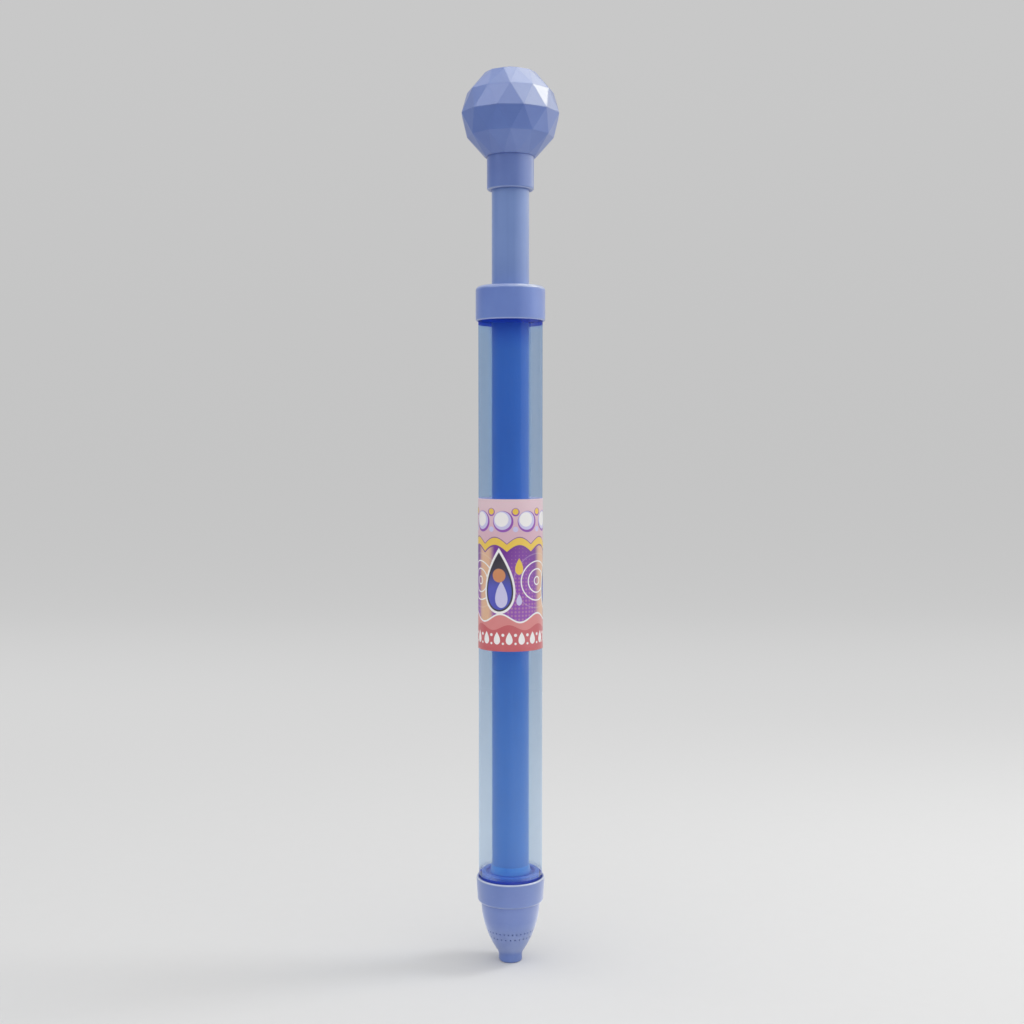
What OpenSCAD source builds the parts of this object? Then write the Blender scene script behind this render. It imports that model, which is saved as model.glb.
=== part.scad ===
// Hand-pumped water squirter: a clear barrel with a sliding plunger, a faceted ball knob
// and a bullet-shaped nose ringed with spray holes.
// Millimetres, +Z up the barrel, origin at the centre of the tip's flat end.

/* [Barrel] */
// Outer diameter of the clear barrel
barrel_od = 38; // [34:0.5:46]
// Wall of the barrel
barrel_wall = 1.6; // [1.2:0.1:2.2]
// Length of the barrel
barrel_len = 360; // [260:1:390]

/* [Label] */
// Height of the label on the barrel
label_h = 89; // [40:1:120]
// Height of the label's lower edge above the barrel's lower end
label_rise = 148.6; // [60:0.1:170]
// Thickness of the label film
label_film = 0.2; // [0.1:0.05:0.4]
// Width of the bare strip between the label's two ends, at the back
label_seam = 1.5; // [0.5:0.1:5]

/* [Spray nose] */
// Diameter of the straight tip
tip_d = 14; // [12:0.5:17]
// Length of the straight tip
tip_len = 5.2; // [4:0.1:9]
// Rounding of the tip's lower edge
tip_edge_r = 0.9; // [0.3:0.1:1.5]
// Diameter of the jet outlet through the tip
outlet_d = 5; // [3:0.1:8]
// Length of the rounded nose between the tip and the collar
nose_len = 31; // [26:0.5:45]
// Swell of the nose outline beyond a straight cone
nose_swell = 2.4; // [1:0.1:3.5]
// Wall of the nose
nose_wall = 2; // [1.4:0.1:2.6]
// Radial step from the barrel's outside in to the nose
nose_step = 1.4; // [1:0.1:2.4]
// Thickness of the nose's flange inside the collar
flange_t = 2; // [1.5:0.1:3]
// Diameter of a spray hole
spray_hole_d = 0.9; // [0.6:0.1:1.5]
// Number of holes in the upper row
upper_row_count = 36; // [12:1:40]
// Number of holes in the lower row
lower_row_count = 30; // [12:1:36]

/* [Nozzle collar] */
// Wall of the collar round the barrel, at its rim
collar_wall = 1.5; // [1.2:0.1:3]
// Height of the collar
collar_h = 15.6; // [12:0.1:24]
// Thickness of the inward lip that carries the nose's flange
collar_lip = 2; // [1.5:0.1:3]
// Radial draft of the collar's outside, from rim to foot
collar_draft = 0.5; // [0:0.1:0.9]
// Rounding of the collar's lower edge
collar_edge_r = 1.9; // [0.5:0.1:2.1]
// Thickness of the rubber gasket under the barrel's end
gasket_t = 1.2; // [0.8:0.1:2]

/* [Top cap] */
// Wall of the cap round the barrel
cap_wall = 1.5; // [1.2:0.1:3]
// Height of the cap
cap_h = 20.2; // [16:0.1:30]
// Thickness of the cap's top plate
cap_plate = 2.2; // [1.6:0.1:4]
// Rounding of the cap's upper edge
cap_edge_r = 2.4; // [0.5:0.1:3]

/* [Rod guide] */
// Wall of the guide's rings
guide_wall = 1.7; // [1.2:0.1:2]
// Thickness of the guide's floor
guide_floor = 2; // [1.2:0.1:4]
// Height of the guide's floor above the cap's lower edge
guide_inset = 0.6; // [0:0.1:4]

/* [Plunger rod] */
// Outer diameter of the rod
rod_d = 22; // [16:0.5:24]
// Wall of the rod
rod_wall = 1.5; // [1:0.1:2.5]
// Length of the rod
rod_len = 431; // [400:1:460]

/* [Piston] */
// Height of the piston's rim
piston_h = 13.3; // [12:0.1:20]
// Height of the hub above the rim
hub_h = 4; // [2:0.1:10]
// Wall of the hub round the rod
hub_wall = 1.25; // [1:0.05:1.6]
// Thickness of the piston's floor under the rod
piston_floor = 3; // [2:0.1:5]
// Depth of the dished ring between hub and rim
dish_depth = 2; // [0.5:0.1:2.2]
// Thickness of the seal rings' section
seal_section = 2.6; // [2:0.1:3]
// Height of the spigot inside the rod
spigot_h = 10; // [5:0.5:20]

/* [Knob] */
// Diameter across the corners of the faceted ball, away from its equator
ball_d = 57; // [50:0.5:70]
// How far the corners of the equator, where the two shells meet in a ridge, stand out from that size
belt_rise = 0.9; // [0:0.1:3]
// Facets round the ball
facet_count = 12; // [8:1:16]
// Latitude of the ball's middle rings of corners, in degrees
mid_lat = 27; // [22:1:34]
// Latitude of the ball's end rings of corners, in degrees
end_lat = 58; // [54:1:60]
// Wall of the ball's shells
shell_wall = 2.2; // [1.6:0.1:3]
// Height of the lap ring that joins the shells
lap_h = 3; // [2:0.5:4]
// Wall of the neck round the rod
neck_wall = 2.8; // [1.5:0.1:3]
// Height of the neck below the ball
neck_h = 19.3; // [17:0.1:30]
// Depth of the rod's socket in the neck
neck_socket = 16; // [10:0.5:17]
// Rounding of the neck's lower edge
neck_edge_r = 1.2; // [0.4:0.1:1.4]

/* [Edges and fits] */
// Rounding of the cap's and the collar's edges where they meet the barrel
rim_r = 0.6; // [0.2:0.1:1]
// Radial play of the rod and the piston where they slide
slide_gap = 0.2; // [0.1:0.05:0.35]
// Radial play of pieces that are pressed or glued together
fit_gap = 0.05; // [0.02:0.01:0.1]
// Play between a seal ring and what it touches
seal_gap = 0.12; // [0.05:0.01:0.2]
// Space left where the plunger lands, on the gasket or on the cap
landing_gap = 0.3; // [0.1:0.1:1]

/* [Hidden] */
$fn = 96;

// How far a cut runs past the face it opens
overrun = 1;
// Straight pieces in a rounded edge, and along the nose
edge_steps = 6;
nose_steps = 18;
// Places of the two rows of spray holes along the nose's curve, from the tip
upper_row_share = 0.5;
lower_row_share = 0.38;
// Places of the two seal grooves in the piston's height
upper_seal_share = 0.55;
lower_seal_share = 0.23;

// Radii
barrel_r = barrel_od / 2;
bore_r = barrel_r - barrel_wall;
tip_r = tip_d / 2;
outlet_r = outlet_d / 2;
nose_r = barrel_r - nose_step;
nose_bore_r = nose_r - nose_wall;
collar_r = barrel_r + collar_wall;
cap_r = barrel_r + cap_wall;
seat_r = barrel_r + fit_gap;
rod_r = rod_d / 2;
rod_bore_r = rod_r - rod_wall;
rod_hole_r = rod_r + slide_gap;
socket_r = rod_r + fit_gap;
hub_r = rod_r + hub_wall;
neck_r = rod_r + neck_wall;
piston_r = bore_r - slide_gap;
seal_mid_r = bore_r - seal_gap - seal_section / 2;
groove_r = seal_mid_r - seal_section / 2 - seal_gap;
groove_h = seal_section + 2 * seal_gap;
ball_r = ball_d / 2;
belt_r = ball_r + belt_rise;
cavity_r = ball_r - shell_wall;
belt_cavity_r = belt_r - shell_wall;

// Heights up the axis. The plunger comes down until the piston meets the gasket or the knob's neck meets
// the cap, whichever is first, and its reach is the height of the neck above the piston's foot
nose_top = tip_len + nose_len;
flange_z = nose_top + collar_lip;
gasket_z = flange_z + flange_t;
barrel_z = gasket_z + gasket_t;
barrel_top = barrel_z + barrel_len;
cap_top = barrel_top + cap_plate;
cap_z = cap_top - cap_h;
guide_z = cap_z + guide_inset;
rod_reach = piston_floor + rod_len - neck_socket;
piston_z = max(barrel_z, cap_top - rod_reach) + landing_gap;
piston_top = piston_z + piston_h;
hub_top = piston_top + hub_h;
rod_z = piston_z + piston_floor;
rod_top = rod_z + rod_len;
neck_z = rod_top - neck_socket;
ball_z = neck_z + neck_h + ball_r * sin(end_lat);

// The nose's outline is one arc from the tip's top to the collar's foot
tip_point = [tip_r, tip_len];
collar_point = [nose_r, nose_top];
nose_chord = norm(collar_point - tip_point);
nose_arc_r = nose_chord * nose_chord / (8 * nose_swell) + nose_swell / 2;
nose_lean = atan2(nose_r - tip_r, nose_len);
nose_out = [cos(nose_lean), -sin(nose_lean)];
nose_centre = (tip_point + collar_point) / 2 - nose_out * (nose_arc_r - nose_swell);
nose_half_turn = asin(nose_chord / 2 / nose_arc_r);
nose_from = -nose_lean - nose_half_turn;
nose_to = -nose_lean + nose_half_turn;
nose_floor = nose_centre[1] + (nose_arc_r - nose_wall) * sin(nose_from);

// The lap ring stands just inside the narrowest part of the upper shell's opening
opening_r = belt_cavity_r * cos(180 / facet_count);
opening_lean = (opening_r - cavity_r * cos(mid_lat)) / (cavity_r * sin(mid_lat));
lap_r = opening_r - lap_h * max(opening_lean, 0) - fit_gap;

function arc(centre, r, from, to, steps) = [
    for (i = [0 : steps])
        let (a = from + (to - from) * i / steps)
        centre + r * [cos(a), sin(a)]
];

// A ring of the ball's corners, turned by a share of one facet
function corner_ring(r, z, turn) = [
    for (k = [0 : facet_count - 1])
        let (a = (k + turn) * 360 / facet_count)
        [r * cos(a), r * sin(a), z]
];

// Triangles between two rings of corners, number i and the next, which may be turned against each other
function band(i, lower_turn, upper_turn) = [
    for (k = [0 : facet_count - 1])
        let (
            next = (k + 1) % facet_count,
            a = i * facet_count + k,
            b = i * facet_count + next,
            c = (i + 1) * facet_count + k,
            d = (i + 1) * facet_count + next
        )
        each (lower_turn > upper_turn ? [[b, a, d], [a, c, d]] : [[b, a, c], [b, c, d]])
];

// Solid through rings of corners, each [radius, height, turn], with a flat foot and a flat or pointed top
module ring_solid(rings, apex_z) {
    last = len(rings) - 1;
    apex = facet_count * len(rings);
    top = [for (k = [0 : facet_count - 1]) last * facet_count + k];
    foot = [for (k = [0 : facet_count - 1]) k];
    sides = [for (i = [0 : last - 1]) each band(i, rings[i][2], rings[i + 1][2])];
    lid = apex_z > rings[last][1]
        ? [for (k = [0 : facet_count - 1]) [top[(k + 1) % facet_count], top[k], apex]]
        : [[for (k = [facet_count - 1 : -1 : 0]) top[k]]];
    points = [for (q = rings) each corner_ring(q[0], q[1], q[2])];
    polyhedron(
        points = apex_z > rings[last][1] ? concat(points, [[0, 0, apex_z]]) : points,
        faces = concat([foot], sides, lid)
    );
}

// Rings of corners of half a ball, from the equator up
function half_ball(belt, r) = [
    [belt, 0, 0.5],
    [r * cos(mid_lat), r * sin(mid_lat), 0],
    [r * cos(end_lat), r * sin(end_lat), 0.5]
];

// Half of the hollow ball, standing on its equator
module half_shell(pointed) {
    difference() {
        ring_solid(half_ball(belt_r, ball_r), pointed ? ball_r : 0);
        ring_solid(
            concat([[belt_cavity_r, -overrun, 0.5]], half_ball(belt_cavity_r, cavity_r)),
            pointed ? cavity_r : 0
        );
    }
}

module tube(outer_r, inner_r, z, h) {
    translate([0, 0, z])
        difference() {
            cylinder(r = outer_r, h = h);
            translate([0, 0, -overrun])
                cylinder(r = inner_r, h = h + 2 * overrun);
        }
}

module barrel_tube() {
    color([0.66, 0.76, 0.85, 0.45])
        tube(barrel_r, bore_r, barrel_z, barrel_len);
}

module label_wrap() {
    film_r = barrel_r + fit_gap + label_film;
    color([0.62, 0.3, 0.62])
        difference() {
            tube(film_r, barrel_r + fit_gap, barrel_z + label_rise, label_h);
            translate([-label_seam / 2, 0, barrel_z + label_rise - overrun])
                cube([label_seam, film_r + overrun, label_h + 2 * overrun]);
        }
}

module top_cap() {
    color([0.47, 0.54, 0.78])
        rotate_extrude()
            polygon(concat(
                [
                    [rod_hole_r, cap_top],
                    [rod_hole_r, barrel_top],
                    [seat_r, barrel_top],
                    [seat_r, cap_z]
                ],
                arc([cap_r - rim_r, cap_z + rim_r], rim_r, -90, 0, edge_steps),
                arc([cap_r - cap_edge_r, cap_top - cap_edge_r], cap_edge_r, 0, 90, edge_steps)
            ));
}

module rod_guide() {
    ring_h = barrel_top - guide_z;
    color([0.3, 0.36, 0.66]) {
        tube(rod_hole_r + guide_wall, rod_hole_r, guide_z, ring_h);
        tube(bore_r - fit_gap, bore_r - fit_gap - guide_wall, guide_z, ring_h);
        tube(bore_r - fit_gap, rod_hole_r, guide_z, guide_floor);
    }
}

module nozzle_collar() {
    foot_r = collar_r - collar_draft;
    color([0.47, 0.54, 0.78])
        rotate_extrude()
            polygon(concat(
                [
                    [seat_r, nose_top + collar_h],
                    [seat_r, flange_z],
                    [nose_r + fit_gap, flange_z],
                    [nose_r + fit_gap, nose_top]
                ],
                arc([foot_r - collar_edge_r, nose_top + collar_edge_r], collar_edge_r, -90, 0, edge_steps),
                arc([collar_r - rim_r, nose_top + collar_h - rim_r], rim_r, 0, 90, edge_steps)
            ));
}

// One row of spray holes, square to the nose's curve
module spray_row(share, count) {
    lean = nose_from + (nose_to - nose_from) * share;
    for (i = [0 : count - 1])
        rotate([0, 0, (i + 0.5) * 360 / count])
            translate([nose_centre[0], 0, nose_centre[1]])
                rotate([0, 90 - lean, 0])
                    translate([0, 0, nose_arc_r - nose_wall - overrun])
                        cylinder(d = spray_hole_d, h = nose_wall + 2 * overrun, $fn = 24);
}

module spray_nose() {
    color([0.47, 0.54, 0.78])
        difference() {
            rotate_extrude()
                polygon(concat(
                    [[outlet_r, 0]],
                    arc([tip_r - tip_edge_r, tip_edge_r], tip_edge_r, -90, 0, edge_steps),
                    arc(nose_centre, nose_arc_r, nose_from, nose_to, nose_steps),
                    [
                        [nose_r, flange_z],
                        [barrel_r, flange_z],
                        [barrel_r, gasket_z],
                        [nose_bore_r, gasket_z]
                    ],
                    arc(nose_centre, nose_arc_r - nose_wall, nose_to, nose_from, nose_steps),
                    [[outlet_r, nose_floor]]
                ));
            spray_row(upper_row_share, upper_row_count);
            spray_row(lower_row_share, lower_row_count);
        }
}

module nozzle_gasket() {
    color([0.16, 0.17, 0.2])
        tube(barrel_r, nose_bore_r, gasket_z, gasket_t);
}

module seal_ring(share) {
    color([0.14, 0.15, 0.18])
        translate([0, 0, piston_z + piston_h * share])
            rotate_extrude()
                translate([seal_mid_r, 0])
                    circle(d = seal_section);
}

module piston_seal_upper() {
    seal_ring(upper_seal_share);
}

module piston_seal_lower() {
    seal_ring(lower_seal_share);
}

module plunger_rod() {
    color([0.36, 0.47, 0.75])
        tube(rod_r, rod_bore_r, rod_z, rod_len);
}

module piston() {
    color([0.4, 0.47, 0.76]) {
        difference() {
            translate([0, 0, piston_z])
                cylinder(r = piston_r, h = piston_h);
            tube(groove_r, hub_r, piston_top - dish_depth, dish_depth + overrun);
            translate([0, 0, rod_z])
                cylinder(r = socket_r, h = piston_h);
            for (share = [lower_seal_share, upper_seal_share])
                tube(piston_r + overrun, groove_r, piston_z + piston_h * share - groove_h / 2, groove_h);
        }
        tube(hub_r, socket_r, rod_z, hub_top - rod_z);
        tube(rod_bore_r - fit_gap, rod_bore_r - fit_gap - rod_wall, rod_z, spigot_h);
    }
}

module knob_lower_shell() {
    boss_top = ball_z - cavity_r * sin(end_lat) + shell_wall;
    color([0.42, 0.5, 0.77]) {
        translate([0, 0, ball_z])
            mirror([0, 0, 1])
                half_shell(false);
        tube(lap_r, lap_r - shell_wall, ball_z - lap_h, 2 * lap_h);
        tube(lap_r + shell_wall / 2, lap_r - shell_wall, ball_z - 2 * lap_h, lap_h);
        rotate_extrude()
            polygon(concat(
                [[socket_r, rod_top], [socket_r, neck_z]],
                arc([neck_r - neck_edge_r, neck_z + neck_edge_r], neck_edge_r, -90, 0, edge_steps),
                [[neck_r, boss_top], [0, boss_top], [0, rod_top]]
            ));
    }
}

module knob_upper_shell() {
    color([0.5, 0.57, 0.82])
        translate([0, 0, ball_z])
            half_shell(true);
}

barrel_tube();
label_wrap();
top_cap();
rod_guide();
nozzle_collar();
spray_nose();
nozzle_gasket();
piston_seal_upper();
piston_seal_lower();
plunger_rod();
piston();
knob_lower_shell();
knob_upper_shell();
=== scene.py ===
"""A hand-pumped water squirter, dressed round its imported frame.

The frame gives every node's place and overall size in metres, with +Z up the barrel and -Y to the front.
Each sub-assembly below rebuilds its nodes as finished meshes in the same places and gives them finishes.
"""
import logging
import math
from dataclasses import dataclass
from enum import Enum
from functools import cache
from typing import Mapping, Sequence

import bmesh
import bpy
from mathutils import Matrix, Vector


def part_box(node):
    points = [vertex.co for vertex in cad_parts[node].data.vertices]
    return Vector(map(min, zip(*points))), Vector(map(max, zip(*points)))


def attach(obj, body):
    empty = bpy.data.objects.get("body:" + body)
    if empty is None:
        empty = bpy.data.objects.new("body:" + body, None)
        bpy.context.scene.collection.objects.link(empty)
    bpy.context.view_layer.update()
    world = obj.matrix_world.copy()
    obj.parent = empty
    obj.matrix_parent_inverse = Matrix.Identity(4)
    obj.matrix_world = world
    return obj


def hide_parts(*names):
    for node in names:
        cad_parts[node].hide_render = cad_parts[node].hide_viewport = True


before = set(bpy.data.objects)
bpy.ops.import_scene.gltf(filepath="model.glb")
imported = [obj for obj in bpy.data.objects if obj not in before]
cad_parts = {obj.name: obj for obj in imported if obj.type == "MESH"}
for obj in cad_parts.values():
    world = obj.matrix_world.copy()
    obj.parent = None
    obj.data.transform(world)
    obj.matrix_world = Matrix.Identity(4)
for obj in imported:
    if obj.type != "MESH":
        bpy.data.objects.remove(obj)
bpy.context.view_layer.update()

MM = 0.001
TURN = 2 * math.pi

# How finely round pieces, the drilled nose, rounded edges and spray holes are divided
ROUND_STEPS = 128
NOSE_STEPS = 144
EDGE_STEPS = 6
PIN_SIDES = 20

# Faces that meet at less than this angle are shaded as one
SMOOTH_BELOW = math.radians(35)

# The label's UV map, the height in it that marks all but the printed face, where the film paints a glow, and
# where that mark is told apart
PRINT_UV = "print"
BACK_OF_PRINT = 1.2
BACK_STARTS = (1.05, 1.15)

# The attribute that marks edges, which turn paler as partly rubbed and partly a painted highlight, and places
# of painted light and shade: the nose's painted light and the tube's painted shade at its ends; below zero it
# marks the rod's sheltered part, painted in shade, and the tube's inner faces
EDGE_ATTRIBUTE = "edge"

log = logging.getLogger("squirter")

Colour = tuple[float, float, float, float]
Range = tuple[float, float]
Triple = tuple[float, float, float]
Inks = list[tuple["Wire", "Wire | Colour"]]

WHITE: Colour = (1.0, 1.0, 1.0, 1.0)
BLACK: Colour = (0.0, 0.0, 0.0, 1.0)


def grey(level: float) -> Colour:
    """Gives a neutral colour."""
    return level, level, level, 1.0


def srgb(red: int, green: int, blue: int) -> Colour:
    """Turns a screen colour into the linear colour that shaders take.

    Args:
        red: Red, from 0 to 255.
        green: Green, from 0 to 255.
        blue: Blue, from 0 to 255.

    Returns:
        The linear colour with full alpha.
    """
    parts = [level / 255 for level in (red, green, blue)]
    linear = [p / 12.92 if p <= 0.04045 else ((p + 0.055) / 1.055) ** 2.4 for p in parts]
    return linear[0], linear[1], linear[2], 1.0


class Body(Enum):
    """The bodies that pieces ride on."""

    BARREL = "barrel"
    SEALS = "seal_rings"
    PLUNGER = "plunger"


class Slot(Enum):
    """The record's material slots."""

    CLEAR = "clear_barrel"
    PRINT = "label_print"
    LAVENDER = "lavender_plastic"
    ROD = "rod_plastic"
    GUIDE = "guide_plastic"
    RUBBER = "seal_rubber"


class Grain(Enum):
    """How flow marks are stretched: evenly in a moulded plastic, along the axis in a drawn one."""

    MOULDED = (70.0, 70.0, 55.0)
    DRAWN = (420.0, 420.0, 5.0)


class Reach(Enum):
    """What a lamp does: it shows in gloss alone, or lights the paper alone."""

    GLOSS = "gloss"
    PAPER = "paper"


class Wire:
    """A node's output socket that takes part in Python arithmetic by adding Math nodes."""

    def __init__(self, graph: "Graph", node: bpy.types.Node, socket: bpy.types.NodeSocket | None) -> None:
        """Keeps the socket.

        Args:
            graph: The graph it belongs to.
            node: The node it belongs to.
            socket: The socket itself, if the node has one.
        """
        self.graph = graph
        self.node = node
        self.socket = socket

    def out(self, name: str | int) -> "Wire":
        """Gives another output of the same node."""
        return Wire(self.graph, self.node, self.node.outputs[name])

    def __add__(self, other: "Wire | float") -> "Wire":
        """Adds."""
        return self.graph.math("ADD", self, other)

    def __radd__(self, other: float) -> "Wire":
        """Adds, with the number first."""
        return self.graph.math("ADD", other, self)

    def __sub__(self, other: "Wire | float") -> "Wire":
        """Subtracts."""
        return self.graph.math("SUBTRACT", self, other)

    def __rsub__(self, other: float) -> "Wire":
        """Subtracts from a number."""
        return self.graph.math("SUBTRACT", other, self)

    def __mul__(self, other: "Wire | float") -> "Wire":
        """Multiplies."""
        return self.graph.math("MULTIPLY", self, other)

    def __rmul__(self, other: float) -> "Wire":
        """Multiplies, with the number first."""
        return self.graph.math("MULTIPLY", other, self)

    def __truediv__(self, other: "Wire | float") -> "Wire":
        """Divides."""
        return self.graph.math("DIVIDE", self, other)

    def __rtruediv__(self, other: float) -> "Wire":
        """Divides a number."""
        return self.graph.math("DIVIDE", other, self)

    def __pow__(self, other: "Wire | float") -> "Wire":
        """Raises to a power."""
        return self.graph.math("POWER", self, other)

    def __abs__(self) -> "Wire":
        """Drops the sign."""
        return self.graph.math("ABSOLUTE", self)

    def sine(self) -> "Wire":
        """Takes the sine of an angle in radians."""
        return self.graph.math("SINE", self)

    def root(self) -> "Wire":
        """Takes the square root."""
        return self.graph.math("SQRT", self)

    def fraction(self) -> "Wire":
        """Keeps the part after the point."""
        return self.graph.math("FRACT", self)

    def least(self, other: "Wire | float") -> "Wire":
        """Takes the smaller of two values."""
        return self.graph.math("MINIMUM", self, other)

    def most(self, other: "Wire | float") -> "Wire":
        """Takes the larger of two values."""
        return self.graph.math("MAXIMUM", self, other)

    def ease(self, low: float, high: float) -> "Wire":
        """Rises smoothly from 0 at the low value to 1 at the high one."""
        limits = {"Value": self, "From Min": low, "From Max": high}
        return self.graph.node("ShaderNodeMapRange", {"interpolation_type": "SMOOTHSTEP"}, limits)


class Graph:
    """A node tree that is written as Python expressions."""

    def __init__(self, tree: bpy.types.NodeTree) -> None:
        """Keeps the tree and clears it."""
        self.tree = tree
        tree.nodes.clear()

    def node(
        self,
        kind: str,
        settings: Mapping[str, object] | None = None,
        inputs: Mapping[str | int, object] | None = None,
    ) -> Wire:
        """Adds one node.

        Args:
            kind: The node's type.
            settings: The node's own settings, which are set first.
            inputs: A value, a wire or a list of wires for each socket, by name or number.

        Returns:
            The node's first output, if it has one.
        """
        made = self.tree.nodes.new(kind)
        for name, value in (settings or {}).items():
            setattr(made, name, value)
        for key, value in (inputs or {}).items():
            socket = made.inputs[key]
            for wire in value if isinstance(value, list) else [value]:
                if isinstance(wire, Wire):
                    self.tree.links.new(wire.socket, socket)
                else:
                    socket.default_value = wire
        return Wire(self, made, made.outputs[0] if len(made.outputs) else None)

    def math(self, operation: str, *values: Wire | float) -> Wire:
        """Adds a Math node that works an operation on its values."""
        return self.node("ShaderNodeMath", {"operation": operation}, dict(enumerate(values)))

    def vector(self, operation: str, *values: Wire | Sequence[float]) -> Wire:
        """Adds a Vector Math node that works an operation on its values."""
        return self.node("ShaderNodeVectorMath", {"operation": operation}, dict(enumerate(values)))

    def join(self, x: Wire | float = 0.0, y: Wire | float = 0.0, z: Wire | float = 0.0) -> Wire:
        """Makes a vector of three values."""
        return self.node("ShaderNodeCombineXYZ", inputs={"X": x, "Y": y, "Z": z})

    def blend(self, share: Wire | float, first: Wire | Colour, second: Wire | Colour) -> Wire:
        """Mixes two colours by the share of the second."""
        return self.node("ShaderNodeMix", {"data_type": "RGBA"}, {0: share, 6: first, 7: second}).out(2)

    def layer(self, share: Wire | float, under: Wire, over: Wire) -> Wire:
        """Mixes two shaders by the share of the upper one."""
        return self.node("ShaderNodeMixShader", inputs={0: share, 1: under, 2: over})

    def split(self, vector: Wire) -> tuple[Wire, Wire, Wire]:
        """Gives a vector's three values."""
        parts = self.node("ShaderNodeSeparateXYZ", inputs={"Vector": vector})
        return parts.out("X"), parts.out("Y"), parts.out("Z")

    def edges(self) -> tuple[Wire, Wire]:
        """Reads the edge attribute, above zero and below it."""
        mark = self.node("ShaderNodeAttribute", {"attribute_name": EDGE_ATTRIBUTE}).out("Fac")
        return mark.most(0.0), (-1.0 * mark).most(0.0)

    def place(self, stretch: Sequence[float] = (1.0, 1.0, 1.0)) -> Wire:
        """Gives the Object coordinates, scaled along each axis."""
        here = self.node("ShaderNodeTexCoord").out("Object")
        return self.node("ShaderNodeMapping", inputs={"Vector": here, "Scale": stretch})

    def noise(self, where: Wire, scale: float, detail: float = 2.0) -> Wire:
        """Adds a noise texture, about 0.5 on average, with its finer layers as detail."""
        return self.node("ShaderNodeTexNoise", inputs={"Vector": where, "Scale": scale, "Detail": detail})

    def bump(self, height: Wire, depth: float, strength: float = 1.0) -> Wire:
        """Turns a height from 0 to 1 into a normal, with the relief's depth in metres."""
        return self.node("ShaderNodeBump", inputs={"Height": height, "Distance": depth, "Strength": strength})


@dataclass(frozen=True)
class Finish:
    """A surface's finish.

    Attributes:
        name: Name of its material.
        slot: The record's slot for it, where it is on the object. It is not used.
    """

    name: str
    slot: Slot | None

    @cache
    def material(self) -> bpy.types.Material:
        """Makes the material, once.

        Returns:
            The material.
        """
        made = bpy.data.materials.new(self.name)
        made.use_nodes = True
        graph = Graph(made.node_tree)
        graph.node("ShaderNodeOutputMaterial", inputs={"Surface": self.shader(graph)})
        return made

    def shader(self, graph: Graph) -> Wire:
        """Adds the finish's nodes and gives the shader to show."""
        raise NotImplementedError


@dataclass(frozen=True)
class SatinPlastic(Finish):
    """Opaque satin plastic with soft flow marks, a fine skin grain, faint rubs and paler, polished edges,
    which are partly rubbed and partly a painted highlight; where it is sheltered its colour is deepened as a
    painted shade.

    Attributes:
        pale: The plastic's own colour where it is palest.
        deep: The plastic's own colour where it is deepest.
        worn_and_highlight: The colour of its rubbed edges, which also paints the highlight along them.
        grain: How its flow marks run.
        sheltered_painted_shade: What its colour is multiplied by where it is sheltered, which paints shade
            there.
        roughness: How rough its skin is.
        bloom: How much pale bloom its skin shows at a slant.
        bloom_spread: How far that bloom spreads.
        gloss: How strong its gloss is.
        cloud_scale: How fine its cloudy patches are.
        skin_scale: How fine its skin grain is.
        skin_depth: How deep its skin grain is.
        rub_stretch: How fine its rubbing marks are along each axis.
        edge_wear_and_highlight: How pale a rubbed edge looks, from rubbing and a painted highlight together.
        rub_wear: How pale a rubbing mark looks.
        shelter_matt: How much more matt it is where it is sheltered.
    """

    pale: Colour
    deep: Colour
    worn_and_highlight: Colour
    grain: Grain
    sheltered_painted_shade: Colour = WHITE
    roughness: float = 0.36
    bloom: float = 0.22
    bloom_spread: float = 0.45
    gloss: float = 1.0
    cloud_scale: float = 42.0
    skin_scale: float = 2600.0
    skin_depth: float = 0.03 * MM
    rub_stretch: Triple = (260.0, 260.0, 2400.0)
    edge_wear_and_highlight: float = 0.8
    rub_wear: float = 0.06
    shelter_matt: float = 0.24

    def sheltered(self, colour: Colour) -> Colour:
        """Gives a colour of the plastic where it is sheltered, deepened as a painted shade."""
        return tuple(level * share for level, share in zip(colour, self.sheltered_painted_shade))

    def shader(self, graph: Graph) -> Wire:
        """Adds the finish's nodes.

        Args:
            graph: The material's graph.

        Returns:
            The shader to show.
        """
        here = graph.place()
        cloud = graph.noise(here, self.cloud_scale, 3.0)
        flow = graph.noise(graph.place(self.grain.value), 1.0, 4.0)
        skin = graph.noise(here, self.skin_scale)
        rubs = graph.noise(graph.place(self.rub_stretch), 1.0, 5.0).ease(0.62, 0.74)
        edge, shelter = graph.edges()
        tone = (0.55 * cloud + 0.45 * flow).ease(0.34, 0.66)
        bare = graph.blend(tone, self.deep, self.pale)
        # Where it is sheltered the colour is deepened, a painted shade
        painted_shade_colour = graph.blend(tone, self.sheltered(self.deep), self.sheltered(self.pale))
        # Paler edges, partly rubbed and partly a painted highlight, and faint rubbing marks
        wear_and_highlight = self.edge_wear_and_highlight * edge * (0.5 + 0.5 * cloud.ease(0.3, 0.6)) + self.rub_wear * rubs
        rough = self.roughness + 0.1 * (cloud - 0.5) + 0.12 * rubs - 0.05 * edge
        return graph.node(
            "ShaderNodeBsdfPrincipled",
            inputs={
                "Base Color": graph.blend(wear_and_highlight.least(1.0), graph.blend(shelter, bare, painted_shade_colour), self.worn_and_highlight),
                "Roughness": rough + self.shelter_matt * shelter,
                "Specular IOR Level": self.gloss,
                "Sheen Weight": self.bloom,
                "Sheen Roughness": self.bloom_spread,
                "Normal": graph.bump(0.7 * skin + 0.3 * flow, self.skin_depth, 0.5),
            },
        )


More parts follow.
